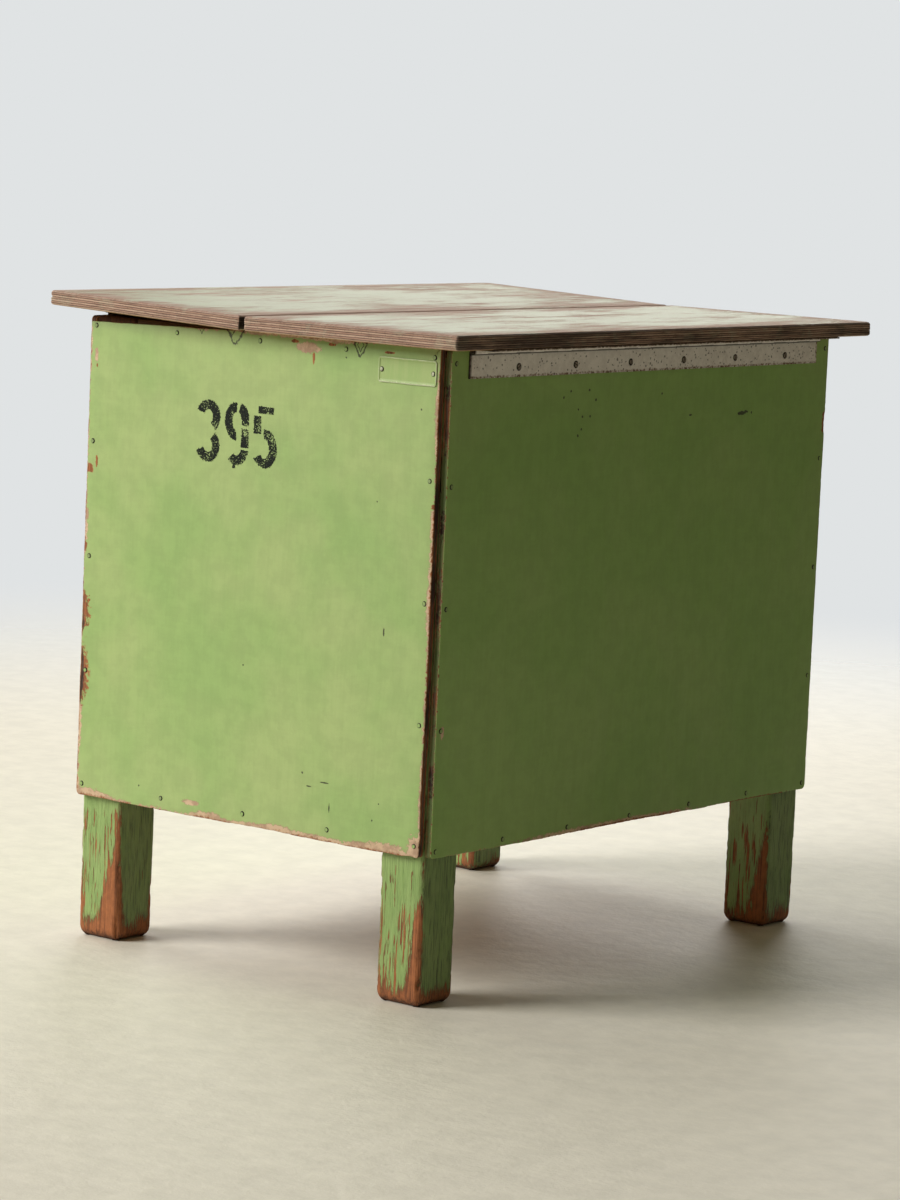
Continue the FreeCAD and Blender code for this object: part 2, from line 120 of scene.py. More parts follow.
class Graph:
    """Short calls that add nodes to one tree and join them."""

    def __init__(self, tree: bpy.types.NodeTree) -> None:
        """Keeps the tree that the calls add to."""
        self.tree = tree

    def feed(self, socket: bpy.types.NodeSocket, value: Any) -> None:
        """Links a socket, or sets a plain value."""
        if isinstance(value, bpy.types.NodeSocket):
            self.tree.links.new(value, socket)
        elif value is not None:
            socket.default_value = value

    def node(self, kind: str, inputs: dict[Any, Any] | None = None, **settings: Any) -> bpy.types.Node:
        """Adds a node.

        Args:
            kind: The node's type name.
            inputs: Values or sockets for its inputs, by name or number.
            **settings: The node's own properties.

        Returns:
            The new node.
        """
        made = self.tree.nodes.new(kind)
        for name, value in settings.items():
            setattr(made, name, value)
        for key, value in (inputs or {}).items():
            self.feed(made.inputs[key], value)
        return made

    def math(self, operation: str, first: Any, second: Any = 0.0, third: Any = 0.0) -> bpy.types.NodeSocket:
        """Adds a Math node and returns its value."""
        return self.node("ShaderNodeMath", {0: first, 1: second, 2: third}, operation=operation).outputs[0]

    def times(self, first: Any, second: Any) -> bpy.types.NodeSocket:
        """Multiplies two values."""
        return self.math("MULTIPLY", first, second)

    def over(self, first: Any, second: Any) -> bpy.types.NodeSocket:
        """Divides one value by another."""
        return self.math("DIVIDE", first, second)

    def plus(self, first: Any, second: Any) -> bpy.types.NodeSocket:
        """Adds two values."""
        return self.math("ADD", first, second)

    def minus(self, first: Any, second: Any) -> bpy.types.NodeSocket:
        """Takes the second value from the first."""
        return self.math("SUBTRACT", first, second)

    def times_plus(self, first: Any, second: Any, third: Any) -> bpy.types.NodeSocket:
        """Multiplies two values and adds a third."""
        return self.math("MULTIPLY_ADD", first, second, third)

    def unsigned(self, value: Any) -> bpy.types.NodeSocket:
        """Drops a value's sign."""
        return self.math("ABSOLUTE", value)

    def vector(self, operation: str, first: Any, second: Any = (0, 0, 0)) -> bpy.types.Node:
        """Adds a Vector Math node."""
        return self.node("ShaderNodeVectorMath", {0: first, 1: second}, operation=operation)

    def scaled(self, at: Any, factors: Any, shift: Any = (0, 0, 0)) -> bpy.types.NodeSocket:
        """Stretches a place by three factors and shifts it."""
        stretched = self.vector("MULTIPLY", at, factors).outputs[0]
        return self.vector("ADD", stretched, shift).outputs[0]

    def parts(self, at: Any) -> bpy.types.NodeOutputs:
        """Splits a place into its X, Y and Z."""
        return self.node("ShaderNodeSeparateXYZ", {0: at}).outputs

    def length(self, at: Any) -> bpy.types.NodeSocket:
        """Measures a vector."""
        return self.node("ShaderNodeVectorMath", {0: at}, operation="LENGTH").outputs["Value"]

    def dot(self, first: Any, second: Any) -> bpy.types.NodeSocket:
        """Multiplies two vectors into one number."""
        return self.vector("DOT_PRODUCT", first, second).outputs["Value"]

    def noise(self, at: Any, scale: Any, detail: float = 2.0,
              roughness: float = 0.5) -> bpy.types.NodeSocket:
        """Adds a Noise Texture and returns its value, about 0.2 to 0.8."""
        inputs = {"Vector": at, "Scale": scale, "Detail": detail, "Roughness": roughness}
        return self.node("ShaderNodeTexNoise", inputs).outputs[0]

    def step(self, value: Any, low: Any, high: Any, start: Any = 0.0,
             end: Any = 1.0) -> bpy.types.NodeSocket:
        """Maps low to start and high to end, smoothly, and holds the ends."""
        inputs = {"Value": value, "From Min": low, "From Max": high, "To Min": start, "To Max": end}
        return self.node("ShaderNodeMapRange", inputs, interpolation_type="SMOOTHSTEP").outputs[0]

    def mix(self, share: Any, first: Any, second: Any) -> bpy.types.NodeSocket:
        """Mixes two colours."""
        made = self.node("ShaderNodeMix", data_type="RGBA")
        for key, value in (("Factor_Float", share), ("A_Color", first), ("B_Color", second)):
            self.feed(next(s for s in made.inputs if s.identifier == key), value)
        return next(s for s in made.outputs if s.identifier == "Result_Color")

    def shade(self, colour: Any, factor: Any) -> bpy.types.NodeSocket:
        """Multiplies a colour's brightness by a value."""
        colour = colour if isinstance(colour, bpy.types.NodeSocket) else colour[:3]
        return self.vector("MULTIPLY", colour, self.grey(factor)).outputs[0]

    def grey(self, value: Any) -> bpy.types.NodeSocket:
        """Makes three equal numbers of one value."""
        return self.node("ShaderNodeCombineXYZ", {0: value, 1: value, 2: value}).outputs[0]

    def largest(self, *values: Any) -> bpy.types.NodeSocket:
        """Returns the largest of several values."""
        top = values[0]
        for value in values[1:]:
            top = self.math("MAXIMUM", top, value)
        return top

    def group(self, tree: bpy.types.NodeTree, **inputs: Any) -> bpy.types.Node:
        """Places a node group and feeds its named inputs, underscores standing for spaces."""
        made = self.node("ShaderNodeGroup", node_tree=tree)
        for name, value in inputs.items():
            self.feed(made.inputs[name.replace("_", " ")], value)
        return made


def new_effect(name: str, inputs: dict[str, str], outputs: dict[str, str]) -> tuple[Graph, Any, Any]:
    """Starts a shader node group.

    Args:
        name: The group's name.
        inputs: Socket type ends by input name, such as Float or Vector.
        outputs: Socket type ends by output name.

    Returns:
        The group's graph, its input sockets by name and its output node.
    """
    tree = bpy.data.node_groups.new(name, "ShaderNodeTree")
    for in_out, sockets in (("INPUT", inputs), ("OUTPUT", outputs)):
        for label, kind in sockets.items():
            tree.interface.new_socket(label, in_out=in_out, socket_type="NodeSocket" + kind)
    graph = Graph(tree)
    return graph, graph.node("NodeGroupInput").outputs, graph.node("NodeGroupOutput")


@cache
def edge_gap() -> bpy.types.NodeTree:
    """Effect: distance from the nearest edge of a box, on the box's surface."""
    inputs = {"At": "Vector", "Low": "Vector", "High": "Vector"}
    graph, given, out = new_effect("edge gap", inputs, {"Gap": "Float"})
    near = graph.vector("MINIMUM", graph.vector("SUBTRACT", given["At"], given["Low"]).outputs[0],
                        graph.vector("SUBTRACT", given["High"], given["At"]).outputs[0]).outputs[0]
    x, y, z = graph.parts(near)
    least = graph.math("MINIMUM", x, y)
    most = graph.math("MAXIMUM", x, y)
    middle = graph.math("MAXIMUM", least, graph.math("MINIMUM", most, z))
    graph.feed(out.inputs["Gap"], middle)
    return graph.tree


@cache
def wood_grain() -> bpy.types.NodeTree:
    """Effect: long fibres and slow growth rings; Stretch is small along the grain."""
    inputs = {"At": "Vector", "Stretch": "Vector", "Shift": "Vector"}
    graph, given, out = new_effect("wood grain", inputs, {"Tone": "Float", "Height": "Float"})
    at = graph.scaled(given["At"], given["Stretch"], given["Shift"])
    slow = graph.noise(at, 0.35, 2.0)
    bent = graph.vector("ADD", at, graph.grey(slow)).outputs[0]
    fibres = graph.noise(bent, 3.2, 4.0, 0.62)
    rings = graph.math("SINE", graph.times(slow, 42.0))
    tone = graph.times_plus(rings, 0.16, fibres)
    graph.feed(out.inputs["Tone"], tone)
    graph.feed(out.inputs["Height"], graph.step(fibres, 0.3, 0.62))
    return graph.tree


@cache
def brush_marks() -> bpy.types.NodeTree:
    """Effect: the fine ridges and thicker bands that a brush leaves in paint."""
    inputs = {"At": "Vector", "Stretch": "Vector"}
    graph, given, out = new_effect("brush marks", inputs, {"Tone": "Float", "Height": "Float"})
    sway = graph.grey(graph.times(graph.noise(given["At"], 6.0, 2.0), 9.0))
    at = graph.vector("ADD", graph.scaled(given["At"], given["Stretch"]), sway).outputs[0]
    fine = graph.noise(at, 7.0, 3.0, 0.6)
    broad = graph.noise(at, 1.1, 2.0, 0.5)
    graph.feed(out.inputs["Tone"], graph.times_plus(fine, 0.5, graph.times(broad, 0.5)))
    graph.feed(out.inputs["Height"], graph.times_plus(fine, 0.8, graph.times(broad, 0.4)))
    return graph.tree


@cache
def plies() -> bpy.types.NodeTree:
    """Effect: veneers seen on a board's edge. Across runs through the thickness, from 0 to Count."""
    inputs = {"Across": "Float", "At": "Vector", "Ragged": "Float"}
    graph, given, out = new_effect("plies", inputs, {"Layer": "Float", "Glue": "Float"})
    drift = graph.minus(graph.noise(given["At"], 46.0, 3.0), 0.5)
    across = graph.times_plus(drift, given["Ragged"], given["Across"])
    within = graph.math("FRACT", across)
    to_line = graph.math("MINIMUM", within, graph.minus(1.0, within))
    layer = graph.math("PINGPONG", graph.math("FLOOR", across), 1.0)
    graph.feed(out.inputs["Layer"], layer)
    graph.feed(out.inputs["Glue"], graph.step(to_line, 0.04, 0.17, 1.0, 0.0))
    return graph.tree


@cache
def speckle() -> bpy.types.NodeTree:
    """Effect: scattered small specks. Share is how many cells hold one, Size its part of a cell."""
    inputs = {"At": "Vector", "Scale": "Float", "Share": "Float", "Size": "Float"}
    graph, given, out = new_effect("speckle", inputs, {"Mask": "Float"})
    inputs = {"Vector": given["At"], "Scale": 420.0, "Detail": 2.0}
    bent = graph.node("ShaderNodeTexNoise", inputs).outputs[1]
    at = graph.vector("ADD", given["At"], graph.scaled(bent, (0.0024, 0.0024, 0.0024))).outputs[0]
    cells = graph.node("ShaderNodeTexVoronoi", {"Vector": at, "Scale": given["Scale"]})
    chosen = graph.parts(cells.outputs["Color"])
    has = graph.math("LESS_THAN", chosen[0], given["Share"])
    reach = graph.times(given["Size"], graph.times_plus(chosen[1], 0.8, 0.4))
    near = graph.step(cells.outputs["Distance"], graph.times(reach, 0.7), reach, 1.0, 0.0)
    graph.feed(out.inputs["Mask"], graph.times(has, near))
    return graph.tree


@cache
def worn_spot() -> bpy.types.NodeTree:
    """Effect: one ragged oval place on a surface."""
    inputs = {"At": "Vector", "Centre": "Vector", "Inverse Size": "Vector", "Ragged": "Float"}
    graph, given, out = new_effect("worn spot", inputs, {"Mask": "Float"})
    away = graph.vector("SUBTRACT", given["At"], given["Centre"]).outputs[0]
    scaled = graph.vector("MULTIPLY", away, given["Inverse Size"]).outputs[0]
    radius = graph.length(scaled)
    reach = graph.plus(radius, given["Ragged"])
    graph.feed(out.inputs["Mask"], graph.step(reach, 0.9, 1.05, 1.0, 0.0))
    return graph.tree


@cache
def notch() -> bpy.types.NodeTree:
    """Effect: one thin crack that runs down to a point and up again."""
    inputs = {"At": "Vector", "Centre": "Vector", "Inverse Size": "Vector", "Ragged": "Float"}
    graph, given, out = new_effect("notch", inputs, {"Mask": "Float"})
    away = graph.vector("SUBTRACT", given["At"], given["Centre"]).outputs[0]
    scaled = graph.vector("MULTIPLY", away, given["Inverse Size"]).outputs[0]
    sides = graph.node("ShaderNodeVectorMath", {0: scaled}, operation="ABSOLUTE").outputs[0]
    around = graph.dot(sides, (1, 1, 1))
    from_line = graph.unsigned(graph.times_plus(given["Ragged"], 0.5, graph.minus(around, 1.0)))
    graph.feed(out.inputs["Mask"], graph.step(from_line, 0.06, 0.2, 1.0, 0.0))
    return graph.tree


@cache
def grime() -> bpy.types.NodeTree:
    """Effect: slow blotches of dirt and faded places."""
    inputs = {"At": "Vector", "Scale": "Float"}
    graph, given, out = new_effect("grime", inputs, {"Blotch": "Float", "Mottle": "Float"})
    blotch = graph.noise(given["At"], given["Scale"], 3.0, 0.6)
    mottle = graph.noise(given["At"], graph.times(given["Scale"], 7.0), 4.0, 0.65)
    graph.feed(out.inputs["Blotch"], graph.step(blotch, 0.32, 0.68))
    graph.feed(out.inputs["Mottle"], graph.step(mottle, 0.3, 0.7))
    return graph.tree


# Finishes

@dataclass(frozen=True)
class Finish:
    """A finish that makes one material.

    Attributes:
        name: The material's name.
    """

    name: str

    def make(self) -> bpy.types.Material:
        """Builds the material round one Principled BSDF."""
        material = bpy.data.materials.new(self.name)
        material.use_nodes = True
        material.node_tree.nodes.clear()
        graph = Graph(material.node_tree)
        shader = graph.node("ShaderNodeBsdfPrincipled")
        graph.node("ShaderNodeOutputMaterial", {"Surface": shader.outputs[0]})
        self.dress(graph, shader, graph.node("ShaderNodeTexCoord").outputs["Object"])
        return material

    def dress(self, graph: Graph, shader: bpy.types.Node, at: bpy.types.NodeSocket) -> None:
        """Feeds the shader's sockets."""
        raise NotImplementedError

    @staticmethod
    def bump(graph: Graph, shader: bpy.types.Node, height_mm: Any, strength: float = 1.0) -> None:
        """Raises the surface by a height in millimetres."""
        made = graph.node("ShaderNodeBump", {"Height": height_mm, "Strength": strength, "Distance": MM})
        graph.feed(shader.inputs["Normal"], made.outputs[0])


class Showing(Enum):
    """What shows where the top coat has gone."""

    TIMBER = "timber"
    UNDERCOAT = "undercoat"
    STAIN = "stain"
    CRACK = "crack"


@dataclass(frozen=True)
class Mark:
    """One worn or stained place on a panel, in millimetres.

    Attributes:
        along: Place along the panel, X or Y.
        height: Height above the floor.
        wide: Reach to each side.
        high: Reach up and down.
        showing: What the mark shows.
        bite: How much of the panel's edge is broken away there.
    """

    along: float
    height: float
    wide: float
    high: float
    showing: Showing
    bite: float = 0.0


@dataclass(frozen=True)
class PanelReading:
    """What the patterns say at a place on a panel.

    Attributes:
        at: The place.
        ragged: Fine chance value, about -0.5 to 0.5.
        slow: Slow chance value, about 0.2 to 0.8.
        depth: Distance in from the painted face.
        inside: Mask of the plies' edges, behind the painted face.
        inner: Mask of the unpainted inner face.
        brush: Upright brush marks.
        cross: Level brush marks.
        dirt: Grime.
        grain: Wood grain.
    """

    at: Any
    ragged: Any
    slow: Any
    depth: Any
    inside: Any
    inner: Any
    brush: Any
    cross: Any
    dirt: Any
    grain: Any


@dataclass(frozen=True)
class PanelPaint(Finish):
    """Brushed green paint on thin plywood, worn at the edges.

    Attributes:
        low: Panel box, low corner.
        high: Panel box, high corner.
        outward: Direction of the painted face.
        marks: Single worn places.
        bare_width: How far bare edges reach in, metres.
        pale_width: How far the pale undercoat shows, metres.
        veil: Share of the colour change over the face, 0 to 1.
        base: The paint's green; on the right wall a darker, more saturated green that paints in shade.
        rim_paint: Share of paint left on the edges of the plies, 0 to 1.
        foot_wear: How many times wider the wear is along the bottom.
    """

    low: Triple
    high: Triple
    outward: Triple
    marks: tuple[Mark, ...] = ()
    bare_width: float = 0.0016
    pale_width: float = 0.0036
    veil: float = 1.0
    base: Colour = LEAF_GREEN
    rim_paint: float = 0.0
    foot_wear: float = 1.7

    def thickness(self) -> float:
        """Thickness of the plywood."""
        return min(abs(high - low) for low, high in zip(self.low, self.high))

    def read(self, graph: Graph, at: bpy.types.NodeSocket) -> PanelReading:
        """Places the patterns that the other methods share."""
        outward = Vector(self.outward)
        face = max(Vector(self.low).dot(outward), Vector(self.high).dot(outward))
        depth = graph.minus(face, graph.dot(at, outward))
        thickness = self.thickness()
        return PanelReading(
            at=at,
            ragged=graph.minus(graph.noise(at, 260.0, 5.0, 0.75), 0.5),
            slow=graph.noise(at, 24.0, 2.0),
            depth=depth,
            inside=graph.step(depth, 0.0004, 0.0009),
            inner=graph.step(depth, thickness - 0.0006, thickness - 0.0002),
            brush=graph.group(brush_marks(), At=at, Stretch=(300, 300, 9)).outputs,
            cross=graph.group(brush_marks(), At=at, Stretch=(12, 12, 260)).outputs,
            dirt=graph.group(grime(), At=at, Scale=9.0).outputs,
            grain=graph.group(wood_grain(), At=at, Stretch=(900, 900, 22), Shift=(3, 1, 7)).outputs,
        )

    def on_wall(self, along: float, up: float) -> Vector:
        """Places a level and an upright length, in millimetres, on the panel's own axes."""
        return Vector((along, 0, up)) if self.outward[1] else Vector((0, along, up))

    def mark_mask(self, graph: Graph, at: Any, ragged: Any, showing: Showing) -> Any:
        """Joins the marks that show one thing.

        Args:
            graph: The material's graph.
            at: The place on the panel.
            ragged: Chance value that frays the marks' borders.
            showing: Which marks to join.

        Returns:
            The mask's socket, or 0.0 if the panel has no such mark.
        """
        masks = [0.0]
        effect = notch() if showing is Showing.CRACK else worn_spot()
        for mark in (m for m in self.marks if m.showing is showing):
            centre = self.on_wall(mark.along, mark.height) * MM
            inverse = [1 / (length * MM) if length else 0.0 for length in self.on_wall(mark.wide, mark.high)]
            spot = graph.group(effect, At=at, Centre=centre, Inverse_Size=inverse, Ragged=ragged)
            masks.append(spot.outputs["Mask"])
        return graph.largest(*masks) if len(masks) > 1 else 0.0

    def worn(self, graph: Graph, read: PanelReading, frayed: Any) -> tuple[Any, Any]:
        """Finds where the top coat has gone.

        Args:
            graph: The material's graph.
            read: The shared patterns.
            frayed: Chance value that frays the marks' borders.

        Returns:
            The masks of bare wood and of pale undercoat.
        """
        gap = graph.group(edge_gap(), At=read.at, Low=self.low, High=self.high).outputs["Gap"]
        worn_gap = graph.times_plus(read.ragged, 0.0105, gap)
        foot = self.low[2]
        low_down = graph.step(graph.parts(read.at)[2], foot + 0.004, foot + 0.02, self.foot_wear, 1.0)
        reach = graph.times(graph.step(read.slow, 0.34, 0.72, 0.3, 1.9), low_down)
        bare = graph.step(worn_gap, 0.0, graph.times(reach, self.bare_width), 1.0, 0.0)
        pale = graph.step(worn_gap, graph.times(reach, self.pale_width * 0.8),
                          graph.times(reach, self.pale_width), 1.0, 0.0)
        bare = graph.largest(bare, self.mark_mask(graph, read.at, frayed, Showing.TIMBER))
        pale = graph.largest(pale, self.mark_mask(graph, read.at, frayed, Showing.UNDERCOAT))
        rim_bare = graph.step(graph.plus(read.ragged, read.slow), 0.5, 0.62, 1.0 - self.rim_paint, 1.0)
        return graph.largest(bare, graph.times(read.inside, rim_bare), read.inner), pale

    def top_coat(self, graph: Graph, read: PanelReading) -> bpy.types.NodeSocket:
        """Colours the paint, with broad yellowed patches and fine brush bands."""
        green = graph.mix(graph.times(read.dirt["Blotch"], self.veil), self.base, YELLOWED_GREEN)
        green = graph.mix(graph.step(read.brush["Tone"], 0.42, 0.62, 0.0, 0.09), green, DEEP_GREEN)
        lift = graph.step(read.cross["Tone"], 0.4, 0.62, 0.985, 1.015)
        green = graph.shade(green, graph.times(lift, graph.step(read.dirt["Mottle"], 0, 1, 0.95, 1.04)))
        # Paint on the ply edges is darkened: dirt and painted shade.
        return graph.mix(graph.times(read.inside, 0.55), green, DIRT_AND_SHADE_BLACK)

    def timber(self, graph: Graph, read: PanelReading) -> bpy.types.NodeSocket:
        """Colours the wood: the face veneer, three plies on the edges and the inner face."""
        layers = graph.over(read.depth, self.thickness() / 3)
        ply = graph.group(plies(), Across=layers, At=read.at, Ragged=0.35).outputs
        tone = graph.step(read.grain["Tone"], 0.3, 0.75)
        edge_wood = graph.mix(ply["Layer"], RED_TIMBER, TAN_VENEER)
        edge_wood = graph.mix(graph.times(ply["Glue"], 0.9), edge_wood, DIRT_AND_SHADE_BLACK)
        # Dark patches on the bare ply edges: dirt and painted shade.
        dirt_and_shade = graph.noise(graph.scaled(read.at, (90, 90, 26)), 1.0, 4.0, 0.65)
        edge_wood = graph.mix(graph.step(dirt_and_shade, 0.4, 0.6, 0.35, 0.9), edge_wood, DIRT_AND_SHADE_BLACK)
        wood = graph.mix(read.inside, graph.mix(tone, RED_TIMBER, DARK_TIMBER), edge_wood)
        return graph.mix(read.inner, wood, graph.mix(tone, PINE, PINE_DARK))

    def dress(self, graph: Graph, shader: bpy.types.Node, at: bpy.types.NodeSocket) -> None:
        """Layers timber, undercoat, paint and specks."""
        read = self.read(graph, at)
        frayed = graph.times(read.ragged, 2.2)
        bare, pale = self.worn(graph, read, frayed)
        specks = graph.group(speckle(), At=at, Scale=62.0, Share=0.035, Size=0.07).outputs["Mask"]
        scuffs = graph.group(speckle(), At=at, Scale=34.0, Share=0.05, Size=0.05).outputs["Mask"]
        stain = graph.largest(specks, self.mark_mask(graph, at, frayed, Showing.STAIN),
                              self.mark_mask(graph, at, frayed, Showing.CRACK))

        colour = graph.mix(graph.times(scuffs, 0.7), self.top_coat(graph, read), UNDERCOAT)
        rim = graph.step(graph.unsigned(graph.minus(pale, 0.5)), 0.25, 0.5, 0.5, 0.0)
        dull = graph.step(read.dirt["Mottle"], 0.3, 0.9, 0.0, 0.55)
        colour = graph.mix(pale, colour, graph.mix(dull, UNDERCOAT, TAN_VENEER))
        colour = graph.mix(rim, colour, TAN_VENEER)
        colour = graph.mix(bare, colour, self.timber(graph, read))
        colour = graph.mix(graph.times(stain, 0.85), colour, DIRT_AND_SHADE_BLACK)
        graph.feed(shader.inputs["Base Color"], colour)

        gloss = graph.step(read.brush["Tone"], 0.35, 0.65, 0.42, 0.56)
        graph.feed(shader.inputs["Roughness"], graph.times_plus(graph.largest(bare, pale), 0.33, gloss))
        film = graph.minus(1.0, graph.times_plus(bare, 0.6, graph.times(pale, 0.4)))
        height = graph.times(film, 0.16)
        height = graph.times_plus(read.brush["Height"], 0.035, height)
        height = graph.times_plus(read.cross["Height"], 0.03, height)
        height = graph.times_plus(graph.times(read.grain["Height"], bare), 0.12, height)
        height = graph.times_plus(stain, -0.15, height)
        self.bump(graph, shader, height)


@dataclass(frozen=True)
class PostPaint(Finish):
    """Green paint on a square post, worn off in upright streaks.

    Attributes:
        low: Post box, low corner.
        high: Post box, high corner.
        wear: How much paint is gone, about 0 to 1.
        shift: Moves the pattern, so that no two posts match.
    """

    low: Triple
    high: Triple
    wear: float
    shift: Triple

    def score(self, graph: Graph, at: Any, gap: Any, on_front: Any, fibres: Any, streaks: Any) -> Any:
        """Scores every cause of wear, with the paint gone where the score is above zero.

        Args:
            graph: The material's graph.
            at: The place on the post.
            gap: Distance from the nearest long edge.
            on_front: Mask of the front face.
            fibres: Fine upright chance value.
            streaks: Broader upright chance value.

        Returns:
            The score.
        """
        x, y, height = graph.parts(at)
        to_corner = graph.largest(graph.minus(self.high[0], x), graph.minus(y, self.low[1]))
        low_down = graph.step(height, 0.004, 0.122, 1.0, 0.0)
        reach = graph.times(low_down, graph.step(on_front, 0.0, 1.0, 0.0035, 0.0155 * self.wear))
        band = graph.over(graph.minus(reach, to_corner), 0.004)
        edge = graph.times(low_down, 0.0055 * self.wear)
        edge = graph.over(graph.minus(edge, gap), 0.003)
        foot = graph.over(graph.minus(0.014 * min(1.0, self.wear), height), 0.012)
        head = graph.step(height, self.high[2] - 0.010, self.high[2] - 0.006, -9.0, 3.0)
        hidden = graph.step(height, 0.105, 0.125, 0.0, -0.4)
        split = graph.step(on_front, 0.0, 1.0, 0.2, 0.02)
        streak = graph.minus(graph.times_plus(low_down, 0.07, streaks), 0.6)
        streak = graph.over(graph.minus(graph.plus(streak, hidden), split), 0.06)
        score = graph.largest(band, edge, foot, head, streak)
        score = graph.times_plus(graph.minus(fibres, 0.5), 3.6, score)
        broad = graph.noise(graph.scaled(at, (60, 60, 26), self.shift), 1.0, 3.0, 0.6)
        return graph.times_plus(graph.minus(broad, 0.5), 3.0, score)

    def dress(self, graph: Graph, shader: bpy.types.Node, at: bpy.types.NodeSocket) -> None:
        """Lets timber show at the corners, the foot and in streaks."""
        tall_low = (self.low[0], self.low[1], self.low[2] - 1)
        tall_high = (self.high[0], self.high[1], self.high[2] + 1)
        gap = graph.group(edge_gap(), At=at, Low=tall_low, High=tall_high).outputs["Gap"]
        height = graph.parts(at)[2]
        fibres = graph.noise(graph.scaled(at, (900, 900, 90), self.shift), 1.0, 4.0, 0.7)
        streaks = graph.noise(graph.scaled(at, (430, 430, 24), self.shift), 1.0, 3.0, 0.6)
        grain = graph.group(wood_grain(), At=at, Stretch=(330, 330, 9), Shift=self.shift).outputs
        lines = graph.noise(graph.scaled(at, (1500, 1500, 38), self.shift), 1.0, 2.0, 0.6)
        brush = graph.group(brush_marks(), At=at, Stretch=(190, 190, 8)).outputs
        dirt = graph.group(grime(), At=at, Scale=26.0).outputs

        on_front = graph.step(graph.minus(graph.parts(at)[1], self.low[1]), 0.0012, 0.004, 1.0, 0.0)
        score = self.score(graph, at, gap, on_front, fibres, streaks)
        bare = graph.step(score, -0.12, 0.12)
        border = graph.step(graph.unsigned(score), 0.1, 0.5, 0.5, 0.0)

        green = graph.mix(graph.step(brush["Tone"], 0.4, 0.62, 0.0, 0.5), LEAF_GREEN, DEEP_GREEN)
        green = graph.mix(graph.times(dirt["Blotch"], 0.4), green, YELLOWED_GREEN)
        # Faces other than the front are darker, and their dark grain lines stronger: painted shade for the
        # sides turned from the light.
        green = graph.shade(green, graph.step(on_front, 0.0, 1.0, 0.72, 1.0))
        grain_lines_and_side_shade = graph.step(lines, 0.53, 0.66, 0.0, graph.step(on_front, 0.0, 1.0, 0.85, 0.25))
        green = graph.mix(grain_lines_and_side_shade, green, DIRT_AND_SHADE_BLACK)
        wood = graph.mix(graph.step(grain["Tone"], 0.4, 0.85), RED_TIMBER, DARK_TIMBER)
        corner_dirt = graph.step(graph.times_plus(fibres, 0.006, gap), 0.0028, 0.0068, 0.72, 0.0)
        # Darkening: grime, dirt along the corners, and a band at the top where the paint is gone, darkened
        # as painted shade under the lid.
        dirt_and_shade = graph.largest(graph.times(dirt["Mottle"], 0.25), corner_dirt,
                             graph.step(height, self.high[2] - 0.010, self.high[2] - 0.006, 0.0, 0.75))
        wood = graph.mix(dirt_and_shade, wood, DIRT_AND_SHADE_BLACK)
        colour = graph.mix(bare, green, wood)
        colour = graph.mix(border, colour, DARK_TIMBER)
        sole = graph.step(graph.times_plus(dirt["Mottle"], 0.006, height), 0.002, 0.010, 0.75, 0.0)
        colour = graph.mix(sole, colour, DIRT_AND_SHADE_BLACK)
        graph.feed(shader.inputs["Base Color"], colour)
        graph.feed(shader.inputs["Roughness"], graph.step(bare, 0.0, 1.0, 0.5, 0.8))
        relief = graph.times(graph.minus(1.0, bare), 0.22)
        relief = graph.times_plus(grain["Height"], 0.25, relief)
        relief = graph.times_plus(grain_lines_and_side_shade, -0.3, relief)
        relief = graph.times_plus(streaks, 0.4, relief)
        self.bump(graph, shader, relief)


